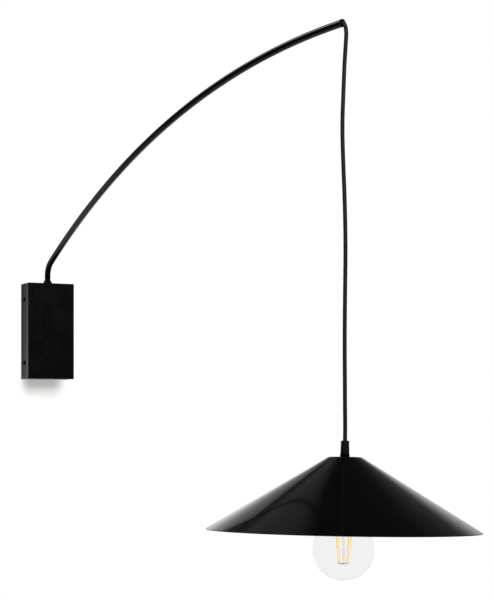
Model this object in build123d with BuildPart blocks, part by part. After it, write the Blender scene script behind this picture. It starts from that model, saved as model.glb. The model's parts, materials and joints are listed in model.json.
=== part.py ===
"""Hanging pendant wall sconce: wall box, curved tube arm, cord and cone shade with a globe bulb.

Millimetres, +Z up. The wall is the plane y = 0 and the room is on its -Y side.
The origin is the centre of the back plate's wall face.
"""
from build123d import *
from math import acos, asin, atan2, cos, degrees, radians, sin, sqrt, tan
import os

os.makedirs("parts", exist_ok=True)

# ---------------------------------------------------------------- wall box
box_width = 100.0
box_height = 200.0
box_depth = 50.0
box_wall = 1.5
box_edge = 2.0              # rounding of the box's outer edges
plate_thickness = 2.0
plate_gap = 0.3             # back plate's ears to the box's inside
plate_end_gap = 4.0         # back plate's ends to the box's inside
ear_width = 20.0
ear_reach = 33.0            # from the wall to the ear's free edge
ear_round = 4.0
wall_hole = 5.5             # holes for the wall screws
wall_hole_across = 60.0
wall_hole_up = 150.0

# side screws that hold the box on the back plate
cover_thread = 5.0
cover_length = 9.0
cover_head = 10.5
cover_head_height = 3.4
cover_head_rim = 0.8
cover_socket = 3.0
cover_socket_depth = 2.0
cover_spacing = 132.0
cover_from_wall = 23.3

# ---------------------------------------------------------------- swivel in the box's top
arm_from_wall = 25.0
stud_diameter = 12.0        # threaded stud of the arm's foot
stud_bore = 7.4             # way through for the cord
bush_wall = 1.5
bush_flange = 19.4
bush_flange_height = 0.9
stiffener_width = 64.0
stiffener_depth = 40.0
stiffener_thickness = 3.0
stiffener_round = 5.0
lower_washer_diameter = 26.0
lower_washer_height = 1.0
spring_washer_diameter = 21.0
spring_washer_height = 1.6
spring_washer_split = 2.0
lock_nut_across = 19.0
lock_nut_height = 6.0
stud_past_nut = 2.0
running_clearance = 0.05    # radial, for what turns or is screwed in
loose_clearance = 0.4       # radial, for a hole round a screw or a stud
slide_gap = 0.1             # between flat faces that slide on each other

# ---------------------------------------------------------------- arm
arm_turn = 9.0              # the arm points this far to the right of straight out
tube_diameter = 12.0
tube_wall = 1.2
foot_flange = 15.0
foot_flange_height = 3.0
foot_spigot = 12.0
collar_foot = 18.8
collar_lip = 0.9
collar_height = 6.4
collar_top_wall = 0.7
stub_height = 16.6          # box top to the start of the bend
foot_bend_radius = 33.3
arc_radius = 1834.6
arc_rise = 33.07            # slope where the long arc starts; it ends level
lip_height = 2.5            # bushing's lip in front of the tube's mouth
lip_round = 0.9
bushing_plug = 14.0
plug_clearance = 0.1        # radial, as the tube bends a little round the straight plug
bushing_bore = 7.6
mouth_round = 1.1

# ---------------------------------------------------------------- cord
cord_diameter = 6.6
cord_gap = 0.3              # between stretches of cord that move against each other
cord_inside_mouth = 9.0
# Points from the mouth's centre: along the arm, across it to the right, and up.
bend_points = [(1.4, 0, 0.2), (5.6, 0, -4.6), (8.3, 0, -11.5), (8.9, 0, -20.5), (8.0, -0.3, -33.0)]
hang_points = [
    (6.7, -1.6, -61.0),
    (6.0, -2.1, -80.0),
    (5.3, -2.9, -109.0),
    (3.9, -4.4, -163.0),
    (4.5, -2.9, -218.0),
    (5.8, -0.7, -280.0),
    (6.2, 0.7, -351.0),
    (5.4, 0.2, -422.0),
    (4.7, -0.2, -498.0),
    (4.6, 0.4, -564.0),
    (4.3, 0.9, -610.0),
    (4.2, 1.4, -635.0),
    (4.67, 0.65, -657.1),
]

# ---------------------------------------------------------------- pendant head
grip_height = 20.4
grip_top_diameter = 13.1
grip_foot_diameter = 14.2
grip_thread_depth = 10.0
grip_round = 1.2
grip_screw_diameter = 4.0
grip_screw_height = 14.0    # above the grip's foot
grip_screw_proud = 0.8
ring_height = 5.0
ring_lip = 0.8
ring_top_diameter = 14.6
ring_foot_diameter = 15.6
nipple_diameter = 10.0
nipple_bore = 7.4
nipple_end_gap = 0.5

shade_diameter = 433.0
shade_top_diameter = 53.0
shade_height = 116.0
shade_thickness = 1.2
shade_shoulder = 6.0        # radius where the flat top turns into the cone
shade_washer_diameter = 24.0
shade_washer_height = 1.0
shade_nut_across = 14.0
shade_nut_height = 3.5

holder_gap = 3.8            # shade nut to the holder's neck
holder_neck_diameter = 16.0
holder_neck_height = 9.0
holder_neck_floor = 3.0     # the neck's thread goes this much further down
holder_diameter = 40.0
holder_cap_height = 31.0
holder_shoulder = 8.0
holder_shoulder_drop = 2.0
holder_ledge = 1.5          # inner lips that hold the insert and the shell
holder_ledge_height = 2.0
holder_body_height = 37.0
holder_wall = 2.0
insert_height = 11.0
insert_recess_diameter = 22.0
insert_recess = 3.0
contact_length = 15.0
contact_width = 6.0
contact_thickness = 0.5
contact_drop = 2.0
contact_screw_spacing = 24.0
contact_screw_diameter = 3.5
contact_screw_length = 6.0
contact_screw_head = 5.6
contact_screw_head_height = 1.8

# ---------------------------------------------------------------- bulb
thread_diameter = 26.2      # crest of the bulb's screw cap
thread_pitch = 3.62
thread_depth = 0.9
thread_turns = 5
thread_clearance = 0.4      # radial, from the cap's crests to the screw shell's
sheet_metal = 0.4           # screw shell and bulb cap
bulb_top_gap = 0.4          # bulb's contact to the holder's contact
bulb_length = 142.0
cap_height = 24.0
cap_shoulder = 1.4
insulator_height = 3.4
insulator_diameter = 19.6
insulator_tip_diameter = 10.0
insulator_rim = 1.0
bulb_contact_diameter = 8.4
bulb_contact_height = 1.0
globe_diameter = 97.0
globe_wall = 1.0
neck_diameter = 25.0
neck_sweep_radius = 24.0    # concave sweep from the neck into the globe
neck_inside_cap = 3.0
stem_press_radius = 3.2
stem_press_top = 46.0       # heights from the globe's centre
stem_press_low = 35.0
stem_rod_radius = 2.0
stem_rim = 0.8
stem_inside_neck = 1.6      # the flare's rim below the neck's end
stem_taper = 2.0
filament_diameter = 2.0
filament_low_radius = 9.7
filament_high_radius = 13.9
filament_low = -18.5        # heights from the globe's centre
filament_high = 19.3
filament_count = 4
filament_turn = 27.1        # first filament's direction about the bulb's axis
wire_diameter = 0.8
wire_link_height = -22.7
wire_lead_rise = 4.0
wire_bend_radius = 1.2
wire_pressed_height = 38.0  # where the leads end inside the stem's press
wire_pressed_radius = 1.5
wire_hub_diameter = 2.4
wire_hub_height = 1.6

# ---------------------------------------------------------------- cord, clamp and terminals in the box
core_diameter = 2.2
core_offset = 1.3           # two cores side by side inside the sheath
flex_high_turn = 71.0       # heights above the box's middle
flex_low_turn = 49.0
flex_end = 26.0
core_high_turn = 20.0
core_low_turn = 5.0
clamp_foot = 4.0
clamp_height = 34.0
clamp_width = 27.0
clamp_length = 8.0
clamp_bridge = 2.2
m3 = 3.0
m3_head = 5.6
m3_head_height = 1.9
clamp_screw_spacing = 18.0
block_centre = -14.0
block_width = 31.0
block_length = 20.0
block_depth = 13.0
pole_pitch = 10.0
pole_depth = 6.5            # sleeve's axis above the back plate
sleeve_diameter = 5.0
sleeve_bore = 3.3
sleeve_length = 17.0
terminal_screw_spacing = 10.0
terminal_screw_diameter = 2.6
terminal_head = 4.0
terminal_head_height = 1.5
terminal_well = 4.4
slot_width = 0.8
slot_depth = 0.8
wire_gap = 1.0              # between wire ends inside a terminal sleeve
cable_entry = 9.0
cable_entry_from_end = 42.0    # above the box's lower end
grommet_wall = 2.5
grommet_flange = 20.0
grommet_flange_height = 2.5
grommet_length = 8.0
earth_across = 32.0
earth_height = -14.0
m4 = 4.0
m4_head = 8.0
m4_head_height = 2.6
earth_washer_diameter = 9.0
earth_washer_height = 0.8
lug_diameter = 8.4
lug_thickness = 0.8
lug_barrel_diameter = 3.4
lug_barrel_length = 6.0
lug_tongue = 4.0
link_in_lug = 1.2           # the link's end, below the barrel's top
link_low_turn = -34.0       # the earth link's turns, above the box's middle
link_lowest = -40.0
link_low_across = 24.0
link_high_turn = -31.0
screw_end_gap = 0.2         # screw tips stay this far inside the wall face
cut_past = 1.0              # cutters reach this far past the faces that they cut


# ---------------------------------------------------------------- helpers
def axis_of(base):
    """The base plane's own axis."""
    return Axis(base.origin, base.z_dir)


def side_of(base):
    """The plane that holds the base's axis: radius runs along its x, height along its y."""
    return Plane(base.origin, x_dir=base.x_dir, z_dir=-base.y_dir)


def placed(base, across, up):
    """The same plane, moved within itself."""
    return Plane(base.from_local_coords((across, up, 0)), x_dir=base.x_dir, z_dir=base.z_dir)


def turn(base, outline, mode=Mode.ADD):
    """A turned shape about the base's axis, from (radius, height) points."""
    with BuildSketch(side_of(base)) as face:
        with BuildLine():
            Polyline(*outline, close=True)
        make_face()
    revolve(face.sketch, axis=axis_of(base), mode=mode)


def drum(base, outer, inner, low, high, mode=Mode.ADD):
    """A plain ring or, with no inner diameter, a disc."""
    with BuildSketch(base.offset(low)) as face:
        Circle(outer / 2)
        if inner:
            Circle(inner / 2, mode=Mode.SUBTRACT)
    extrude(face.sketch, amount=high - low, mode=mode)


def slab(base, width, depth, low, high, mode=Mode.ADD):
    """A plain block on the base plane."""
    with BuildSketch(base.offset(low)) as face:
        Rectangle(width, depth)
    extrude(face.sketch, amount=high - low, mode=mode)


def hexagon(base, across, bore, low, high, mode=Mode.ADD):
    """A hexagon nut or, with no bore, a hexagon socket."""
    with BuildSketch(base.offset(low)) as face:
        RegularPolygon(across / 2, 6, major_radius=False)
        if bore:
            Circle(bore / 2, mode=Mode.SUBTRACT)
    extrude(face.sketch, amount=high - low, mode=mode)


def slotted_screw(base, thread, length, head, head_height):
    """A cheese-head screw: its head stands on the base plane and its shank goes below."""
    drum(base, thread, 0, -length, 0)
    drum(base, head, 0, 0, head_height)
    slot_floor = head_height - slot_depth
    slab(base, head + cut_past, slot_width, slot_floor, head_height + cut_past, mode=Mode.SUBTRACT)


def button_head(base, head, height, rim):
    """A domed screw head that stands on the base plane."""
    dome_height = height - rim
    dome_radius = ((head / 2) ** 2 + dome_height ** 2) / (2 * dome_height)
    dome_sweep = degrees(asin(head / 2 / dome_radius))
    with BuildSketch(side_of(base)) as face:
        with BuildLine():
            dome = JernArc(start=(0, height), tangent=(1, 0), radius=dome_radius, arc_size=-dome_sweep)
            Polyline(dome @ 1, (head / 2, 0), (0, 0), (0, height))
        make_face()
    revolve(face.sketch, axis=axis_of(base))


def ripple(crest_radius, top):
    """The rings of a rolled screw thread, from the top down, as (radius, height) points."""
    points = []
    for ring in range(thread_turns):
        start = top - ring * thread_pitch
        points.append((crest_radius - thread_depth, start - 0.15 * thread_pitch))
        points.append((crest_radius, start - 0.35 * thread_pitch))
        points.append((crest_radius, start - 0.65 * thread_pitch))
        points.append((crest_radius - thread_depth, start - 0.85 * thread_pitch))
    return points


def inwards(points, amount):
    """The same outline at smaller radii, in the reverse order."""
    return [(radius - amount, height) for radius, height in reversed(points)]


def corner_radii(points):
    """As large an arc at each inner point as its two runs allow."""
    radii = []
    for before, here, after in zip(points, points[1:], points[2:]):
        run_in = here - before
        run_out = after - here
        half_turn = radians(run_in.get_angle(run_out)) / 2
        radii.append(0.45 * min(run_in.length, run_out.length) / tan(half_turn))
    return radii


def tube_through(points, diameter, name, bend_radius=None):
    """A round cord or wire through the points; without a bend radius, each bend is as large as it can be."""
    corners = [Vector(point) for point in points]
    radii = [bend_radius] * (len(corners) - 2) if bend_radius else corner_radii(corners)
    with BuildLine() as route:
        FilletPolyline(*corners, radius=radii)
    with BuildSketch(Plane(corners[0], z_dir=corners[1] - corners[0])) as section:
        Circle(diameter / 2)
    wire = route.wire()
    sweep(section.sketch, path=wire)
    shown = ", ".join(f"{radius:.1f}" for radius in radii)
    print(f"{name}: length {wire.length:.1f}, bend radii {shown}")


def save(piece, label):
    """Names a finished piece and writes it."""
    piece.part.label = label
    export_step(piece.part, f"parts/{label}.step")


# ---------------------------------------------------------------- places in the box
wall = Plane((0, 0, 0), x_dir=(1, 0, 0), z_dir=(0, -1, 0))     # its x is X, its y is Z
entry = placed(wall, 0, cable_entry_from_end - box_height / 2)
earth = placed(wall, earth_across, earth_height)
clamp = placed(wall, 0, clamp_height)
block = placed(wall, 0, block_centre)
swivel = Plane((0, -arm_from_wall, box_height / 2), x_dir=(1, 0, 0), z_dir=(0, 0, 1))
corner_sides = [(side, end) for side in (-1, 1) for end in (-1, 1)]
screw_seats = [
    Plane((side * box_width / 2, -cover_from_wall, end * cover_spacing / 2), z_dir=(side, 0, 0))
    for side, end in corner_sides
]

# ---------------------------------------------------------------- back plate
plate_width = box_width - 2 * (box_wall + plate_gap)
plate_length = box_height - 2 * (box_wall + plate_end_gap)
ear_centre = (plate_width - plate_thickness) / 2
grommet_hole = cable_entry + 2 * grommet_wall

def through_plate(centre, diameter):
    """Drills through the back plate."""
    drum(centre, diameter, 0, -cut_past, plate_thickness + cut_past, mode=Mode.SUBTRACT)


with BuildPart() as back_plate:
    slab(wall, plate_width, plate_length, 0, plate_thickness)
    for side, end in corner_sides:
        ear = placed(wall, side * ear_centre, end * cover_spacing / 2)
        slab(ear, plate_thickness, ear_width, plate_thickness, ear_reach)
    ear_corners = back_plate.edges().filter_by(Axis.X).group_by(Axis.Y)[0]
    fillet(ear_corners, radius=ear_round)
    for across in (-wall_hole_across / 2, wall_hole_across / 2):
        for up in (-wall_hole_up / 2, wall_hole_up / 2):
            through_plate(placed(wall, across, up), wall_hole)
    through_plate(entry, grommet_hole)
    through_plate(earth, m4 + 2 * running_clearance)
    for centre, spacing in ((clamp, clamp_screw_spacing), (block, pole_pitch)):
        for across in (-spacing / 2, spacing / 2):
            through_plate(placed(centre, across, 0), m3 + 2 * running_clearance)
    for seat in screw_seats:
        drum(seat, cover_thread + 2 * running_clearance, 0, -cover_length - cut_past, 0, mode=Mode.SUBTRACT)
save(back_plate, "back_plate")

# ---------------------------------------------------------------- housing and its screws
bush_outer = stud_diameter + 2 * (running_clearance + bush_wall)
bush_hole = bush_outer + 2 * running_clearance

with BuildPart() as housing:
    slab(wall, box_width, box_height, 0, box_depth)
    front_edges = housing.edges().group_by(Axis.Y)[0]
    corner_edges = housing.edges().filter_by(Axis.Y)
    fillet(front_edges + corner_edges, radius=box_edge)
    room_width = box_width - 2 * box_wall
    room_height = box_height - 2 * box_wall
    slab(wall, room_width, room_height, -cut_past, box_depth - box_wall, mode=Mode.SUBTRACT)
    drum(swivel, bush_hole, 0, -box_wall - cut_past, cut_past, mode=Mode.SUBTRACT)
    for seat in screw_seats:
        hole = cover_thread + 2 * loose_clearance
        drum(seat, hole, 0, -box_wall - cut_past, cut_past, mode=Mode.SUBTRACT)
save(housing, "housing")

with BuildPart() as cover_screws:
    for seat in screw_seats:
        drum(seat, cover_thread, 0, -cover_length, 0)
        button_head(seat, cover_head, cover_head_height, cover_head_rim)
        socket_floor = cover_head_height - cover_socket_depth
        hexagon(seat, cover_socket, 0, socket_floor, cover_head_height + cut_past, mode=Mode.SUBTRACT)
save(cover_screws, "cover_screws")

# ---------------------------------------------------------------- swivel parts that stay with the box
stiffener_low = -box_wall - stiffener_thickness
lower_washer_low = stiffener_low - lower_washer_height
stud_fit = stud_diameter + 2 * running_clearance

with BuildPart() as top_stiffener:
    slab(swivel, stiffener_width, stiffener_depth, stiffener_low, -box_wall)
    fillet(top_stiffener.edges().filter_by(Axis.Z), radius=stiffener_round)
    drum(swivel, bush_hole, 0, stiffener_low - cut_past, 0, mode=Mode.SUBTRACT)
save(top_stiffener, "top_stiffener")

with BuildPart() as swivel_bush:
    drum(swivel, bush_outer, stud_fit, stiffener_low, 0)
    drum(swivel, bush_flange, stud_fit, 0, bush_flange_height)
save(swivel_bush, "swivel_bush")

with BuildPart() as lower_washer:
    washer_hole = stud_diameter + 2 * loose_clearance
    drum(swivel, lower_washer_diameter, washer_hole, lower_washer_low, stiffener_low)
save(lower_washer, "lower_washer")

# ---------------------------------------------------------------- swivel parts that turn with the arm
spring_high = lower_washer_low - slide_gap
nut_high = spring_high - spring_washer_height
nut_low = nut_high - lock_nut_height
stud_low = nut_low - stud_past_nut
foot_low = bush_flange_height + slide_gap
foot_high = foot_low + foot_flange_height
tube_bore = tube_diameter - 2 * tube_wall

with BuildPart() as spring_washer:
    drum(swivel, spring_washer_diameter, stud_fit, nut_high, spring_high)
    split = placed(swivel, spring_washer_diameter / 2, 0)
    slab(split, spring_washer_diameter / 2, spring_washer_split, nut_high - cut_past, 0, mode=Mode.SUBTRACT)
save(spring_washer, "spring_washer")

with BuildPart() as lock_nut:
    hexagon(swivel, lock_nut_across, stud_fit, nut_low, nut_high)
save(lock_nut, "lock_nut")

with BuildPart() as arm_foot:
    drum(swivel, stud_diameter, stud_bore, stud_low, foot_low)
    drum(swivel, foot_flange, stud_bore, foot_low, foot_high)
    drum(swivel, tube_bore - 2 * running_clearance, stud_bore, foot_high, foot_high + foot_spigot)
save(arm_foot, "arm_foot")

with BuildPart() as arm_collar:
    collar_bore = tube_diameter / 2 + running_clearance
    collar_room = foot_flange / 2 + running_clearance
    collar_top = foot_low + collar_height
    turn(swivel, [
        (collar_room, foot_low),
        (collar_foot / 2, foot_low),
        (collar_foot / 2, foot_low + collar_lip),
        (collar_bore + collar_top_wall, collar_top),
        (collar_bore, collar_top),
        (collar_bore, foot_high + running_clearance),
        (collar_room, foot_high + running_clearance),
    ])
save(arm_collar, "arm_collar")

# ---------------------------------------------------------------- arm tube and its bushing
arm_way = Vector(sin(radians(arm_turn)), -cos(radians(arm_turn)), 0)
arm_across = Vector(cos(radians(arm_turn)), sin(radians(arm_turn)), 0)
arm_side = Plane(swivel.origin, x_dir=arm_way, z_dir=-arm_across)   # its x is outwards, its y up


def arm_route(start_height, shortened):
    """The arm's centre line, from a height at its foot to just short of the tube's end."""
    last_sweep = degrees(shortened / arc_radius) - arc_rise
    with BuildLine(arm_side) as route:
        foot = Line((0, start_height), (0, stub_height))
        bend = JernArc(start=foot @ 1, tangent=foot % 1, radius=foot_bend_radius, arc_size=arc_rise - 90)
        JernArc(start=bend @ 1, tangent=bend % 1, radius=arc_radius, arc_size=last_sweep)
    return route.wire()


with BuildPart() as arm_tube:
    tube_line = arm_route(foot_high, 0)
    with BuildSketch(swivel.offset(foot_high)) as section:
        Circle(tube_diameter / 2)
        Circle(tube_bore / 2, mode=Mode.SUBTRACT)
    sweep(section.sketch, path=tube_line)
save(arm_tube, "arm_tube")

# the bushing's front face; heights run out of the arm
mouth = Plane(tube_line @ 1 + arm_way * lip_height, x_dir=arm_across, z_dir=arm_way)

with BuildPart() as tip_bushing:
    drum(mouth, tube_diameter, bushing_bore, -lip_height, 0)
    front_edges = tip_bushing.edges().filter_by(GeomType.CIRCLE).group_by(axis_of(mouth))[-1]
    fillet(front_edges.sort_by(SortBy.RADIUS)[-1], radius=lip_round)
    front_edges = tip_bushing.edges().filter_by(GeomType.CIRCLE).group_by(axis_of(mouth))[-1]
    fillet(front_edges.sort_by(SortBy.RADIUS)[0], radius=mouth_round)
    drum(mouth, tube_bore - 2 * plug_clearance, bushing_bore, -lip_height - bushing_plug, -lip_height)
save(tip_bushing, "tip_bushing")

# ---------------------------------------------------------------- cord
arm_flex_short = cord_inside_mouth + cord_gap - lip_height

with BuildPart() as arm_flex:
    flex_line = arm_route(stud_low, arm_flex_short)
    with BuildSketch(swivel.offset(stud_low)) as section:
        Circle(cord_diameter / 2)
    sweep(section.sketch, path=flex_line)
    print(f"arm_flex: length {flex_line.length:.1f}")
save(arm_flex, "arm_flex")

hang_frame = Plane(mouth.origin, x_dir=arm_way, z_dir=(0, 0, 1))     # along the arm, across it, up


def from_mouth(point):
    """A point given from the mouth's centre."""
    return hang_frame.from_local_coords(point)


cord_start = from_mouth((-cord_inside_mouth, 0, 0))
bend_route = [from_mouth(point) for point in bend_points]
hang_route = [from_mouth(point) for point in hang_points]
sway_point = (bend_route[-1] + hang_route[0]) * 0.5
sway_way = (hang_route[0] - bend_route[-1]).normalized()
grip_point = hang_route[-1]

with BuildPart() as cord_bend:
    tube_through([cord_start, *bend_route, sway_point], cord_diameter, "cord_bend")
    knuckle = Plane(sway_point, z_dir=sway_way)
    with BuildSketch(side_of(knuckle)) as quarter:
        Circle(cord_diameter / 2)
        Rectangle(cord_diameter, cord_diameter, align=(Align.MIN, Align.MIN), mode=Mode.INTERSECT)
    revolve(quarter.sketch, axis=axis_of(knuckle))
save(cord_bend, "cord_bend")

with BuildPart() as hanging_cord:
    hang_start = sway_point + sway_way * (cord_diameter / 2 + cord_gap)
    tube_through([hang_start, *hang_route], cord_diameter, "hanging_cord")
save(hanging_cord, "hanging_cord")

# ---------------------------------------------------------------- pendant head
head_up = (hang_route[-2] - grip_point).normalized()         # the head hangs in line with the cord's last run
head_right = Vector(0, 1, 0).cross(head_up).normalized()
head_top = grip_point - head_up * (ring_height + grip_height)
head = Plane(head_top, x_dir=head_right, z_dir=head_up)      # on the shade's flat top; heights run up
nipple_fit = nipple_diameter + 2 * running_clearance
grip_low = ring_height
grip_high = ring_height + grip_height
thread_high = grip_low + grip_thread_depth
cord_fit = cord_diameter + 2 * running_clearance

with BuildPart() as cord_grip:
    turn(head, [
        (nipple_fit / 2, grip_low),
        (grip_foot_diameter / 2, grip_low),
        (grip_top_diameter / 2, grip_high),
        (cord_fit / 2, grip_high),
        (cord_fit / 2, thread_high),
        (nipple_fit / 2, thread_high),
    ])
    top_edges = cord_grip.edges().filter_by(GeomType.CIRCLE).group_by(axis_of(head))[-1]
    fillet(top_edges.sort_by(SortBy.RADIUS)[-1], radius=grip_round)
    screw_way = Plane(head.offset(grip_low + grip_screw_height).origin, z_dir=head.y_dir)
    screw_hole = grip_screw_diameter + 2 * running_clearance
    drum(screw_way, screw_hole, 0, 0, grip_foot_diameter, mode=Mode.SUBTRACT)
save(cord_grip, "cord_grip")

with BuildPart() as grip_screw:
    screw_end = grip_top_diameter / 2 + grip_screw_proud
    drum(screw_way, grip_screw_diameter, 0, cord_fit / 2, screw_end)
    slab(screw_way, grip_screw_diameter + cut_past, slot_width, screw_end - slot_depth, screw_end + cut_past,
         mode=Mode.SUBTRACT)
save(grip_screw, "grip_screw")

with BuildPart() as grip_ring:
    turn(head, [
        (nipple_fit / 2, 0),
        (ring_foot_diameter / 2, 0),
        (ring_foot_diameter / 2, ring_lip),
        (ring_top_diameter / 2, ring_height),
        (nipple_fit / 2, ring_height),
    ])
save(grip_ring, "grip_ring")

cone_run = (shade_diameter - shade_top_diameter) / 2
cone_slope = degrees(atan2(shade_height, cone_run))
cone_length = sqrt(cone_run ** 2 + shade_height ** 2)
inner_top = shade_top_diameter / 2 - shade_thickness * tan(radians(cone_slope / 2))
rim_in = shade_thickness * shade_height / cone_length
rim_down = shade_thickness * cone_run / cone_length

with BuildPart() as shade:
    with BuildSketch(side_of(head)) as wall_section:
        with BuildLine():
            outside = FilletPolyline(
                (nipple_fit / 2, 0),
                (shade_top_diameter / 2, 0),
                (shade_diameter / 2, -shade_height),
                radius=shade_shoulder,
            )
            inside = FilletPolyline(
                (nipple_fit / 2, -shade_thickness),
                (inner_top, -shade_thickness),
                (shade_diameter / 2 - rim_in, -shade_height - rim_down),
                radius=shade_shoulder - shade_thickness,
            )
            Line(outside @ 0, inside @ 0)
            TangentArc(outside @ 1, inside @ 1, tangent=outside % 1)
        make_face()
    revolve(wall_section.sketch, axis=axis_of(head))
save(shade, "shade")

washer_low = -shade_thickness - shade_washer_height
shade_nut_low = washer_low - shade_nut_height
neck_high = shade_nut_low - holder_gap
neck_low = neck_high - holder_neck_height
thread_low = neck_low - holder_neck_floor
cap_low = neck_high - holder_cap_height
body_low = cap_low - holder_body_height
holder_radius = holder_diameter / 2
holder_inner = holder_radius - holder_wall

with BuildPart() as shade_washer:
    drum(head, shade_washer_diameter, nipple_fit, washer_low, -shade_thickness)
save(shade_washer, "shade_washer")

with BuildPart() as shade_nut:
    hexagon(head, shade_nut_across, nipple_fit, shade_nut_low, washer_low)
save(shade_nut, "shade_nut")

with BuildPart() as head_nipple:
    drum(head, nipple_diameter, nipple_bore, thread_low + nipple_end_gap, thread_high - nipple_end_gap)
save(head_nipple, "head_nipple")

with BuildPart() as holder_cap:
    with BuildSketch(side_of(head)) as wall_section:
        with BuildLine():
            neck_top = Line((nipple_fit / 2, neck_high), (holder_neck_diameter / 2, neck_high))
            neck_side = Line(neck_top @ 1, (holder_neck_diameter / 2, neck_low))
            outside = FilletPolyline(
                neck_side @ 1,
                (holder_radius, neck_low - holder_shoulder_drop),
                (holder_radius, cap_low),
                radius=holder_shoulder,
            )
            inside = FilletPolyline(
                (nipple_fit / 2, thread_low),
                (holder_inner, thread_low - holder_shoulder_drop),
                (holder_inner, cap_low + holder_ledge_height),
                radius=holder_shoulder - holder_wall,
            )
            Polyline(
                inside @ 1,
                (holder_inner - holder_ledge, cap_low + holder_ledge_height),
                (holder_inner - holder_ledge, cap_low),
                outside @ 1,
            )
            Line(inside @ 0, neck_top @ 0)
        make_face()
    revolve(wall_section.sketch, axis=axis_of(head))
save(holder_cap, "holder_cap")

with BuildPart() as holder_body:
    turn(head, [
        (holder_inner, cap_low),
        (holder_radius, cap_low),
        (holder_radius, body_low),
        (holder_inner - holder_ledge, body_low),
        (holder_inner - holder_ledge, body_low + holder_ledge_height),
        (holder_inner, body_low + holder_ledge_height),
    ])
    low_edges = holder_body.edges().filter_by(GeomType.CIRCLE).group_by(axis_of(head))[0]
    fillet(low_edges.sort_by(SortBy.RADIUS)[-1], radius=holder_wall / 2)
save(holder_body, "holder_body")

insert_low = cap_low - insert_height
recess_high = insert_low + insert_recess
insert_radius = holder_inner - running_clearance
contact_seats = [placed(head.offset(cap_low), across, 0)
                 for across in (-contact_screw_spacing / 2, contact_screw_spacing / 2)]

with BuildPart() as holder_insert:
    drum(head, 2 * insert_radius, 0, insert_low, cap_low)
    drum(head, insert_recess_diameter, 0, insert_low - cut_past, recess_high, mode=Mode.SUBTRACT)
    for seat in contact_seats:
        hole = contact_screw_diameter + 2 * running_clearance
        drum(seat, hole, 0, -contact_screw_length - cut_past, cut_past, mode=Mode.SUBTRACT)
save(holder_insert, "holder_insert")

with BuildPart() as contact_screws:
    for seat in contact_seats:
        slotted_screw(seat, contact_screw_diameter, contact_screw_length, contact_screw_head,
                      contact_screw_head_height)
save(contact_screws, "contact_screws")

with BuildPart() as centre_contact:
    half = contact_length / 2
    pad = half / 3
    shoulder = 2 * half / 3
    rising = [(pad, -contact_drop), (shoulder, 0), (half, 0)]
    tongue = [(-x, y) for x, y in reversed(rising)] + rising
    with BuildSketch(side_of(head.offset(recess_high))) as strip:
        with BuildLine():
            Polyline(*tongue, *[(x, y - contact_thickness) for x, y in reversed(tongue)], close=True)
        make_face()
    extrude(strip.sketch, amount=contact_width / 2, both=True)
save(centre_contact, "centre_contact")

shell_crest = thread_diameter / 2 + thread_clearance
shell_rings = ripple(shell_crest + thread_depth, insert_low - sheet_metal)
shell_low = body_low + holder_ledge_height
shell_foot = holder_inner - running_clearance

with BuildPart() as screw_shell:
    turn(head, [
        (insert_recess_diameter / 2, insert_low),
        (shell_crest + thread_depth + sheet_metal, insert_low),
        *[(radius + sheet_metal, height) for radius, height in shell_rings],
        (shell_foot - holder_ledge, shell_low + sheet_metal),
        (shell_foot, shell_low + sheet_metal),
        (shell_foot, shell_low),
        (shell_foot - holder_ledge, shell_low),
        *inwards([(radius, height) for radius, height in shell_rings], 0),
        (insert_recess_diameter / 2, insert_low - sheet_metal),
    ])
save(screw_shell, "screw_shell")

sheath_low = thread_low - cord_gap
with BuildPart() as head_flex:
    drum(head, cord_diameter, 0, sheath_low, grip_high)
save(head_flex, "head_flex")


def head_core(side):
    """One insulated core from the sheath's end to its contact screw."""
    screw_edge = (contact_screw_spacing - contact_screw_head - core_diameter) / 2
    above = cap_low + core_diameter / 2
    points = [
        (side * core_offset, 0, sheath_low),
        (side * core_offset, 0, sheath_low - core_diameter * 2),
        (side * screw_edge / 2, 0, above + core_diameter),
        (side * screw_edge, 0, above),
    ]
    return [head.from_local_coords(point) for point in points]


with BuildPart() as head_live_core:
    tube_through(head_core(-1), core_diameter, "head_live_core")
save(head_live_core, "head_live_core")

with BuildPart() as head_neutral_core:
    tube_through(head_core(1), core_diameter, "head_neutral_core")
save(head_neutral_core, "head_neutral_core")

# ---------------------------------------------------------------- bulb
bulb_high = recess_high - contact_drop - contact_thickness - bulb_top_gap
insulator_high = bulb_high - bulb_contact_height
insulator_low = insulator_high - insulator_height
cap_high = insulator_low + insulator_rim
bulb_cap_low = cap_high - cap_height
globe_radius = globe_diameter / 2
globe_centre = bulb_high - bulb_length + globe_radius
bulb = head.offset(globe_centre)            # on the globe's centre

with BuildPart() as bulb_contact:
    drum(head, bulb_contact_diameter, 0, insulator_high, bulb_high)
save(bulb_contact, "bulb_contact")

with BuildPart() as bulb_insulator:
    turn(head, [
        (0, insulator_high),
        (insulator_tip_diameter / 2, insulator_high),
        (insulator_diameter / 2, insulator_low + insulator_rim),
        (insulator_diameter / 2, insulator_low),
        (0, insulator_low),
    ])
save(bulb_insulator, "bulb_insulator")

with BuildPart() as bulb_cap:
    crest = thread_diameter / 2
    cap_edge = insulator_diameter / 2 + running_clearance
    rings_high = cap_high - cap_shoulder
    outside = [
        (cap_edge + sheet_metal, cap_high),
        *ripple(crest, rings_high),
        (crest, rings_high - thread_turns * thread_pitch),
        (crest, bulb_cap_low),
    ]
    turn(head, [*outside, *inwards(outside, sheet_metal)])
save(bulb_cap, "bulb_cap")

neck_radius = neck_diameter / 2
neck_top = bulb_cap_low + neck_inside_cap - globe_centre
sweep_reach = globe_radius + neck_sweep_radius
sweep_across = neck_radius + neck_sweep_radius
neck_bottom = sqrt(sweep_reach ** 2 - sweep_across ** 2)
sweep_angle = degrees(acos(sweep_across / sweep_reach))

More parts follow.
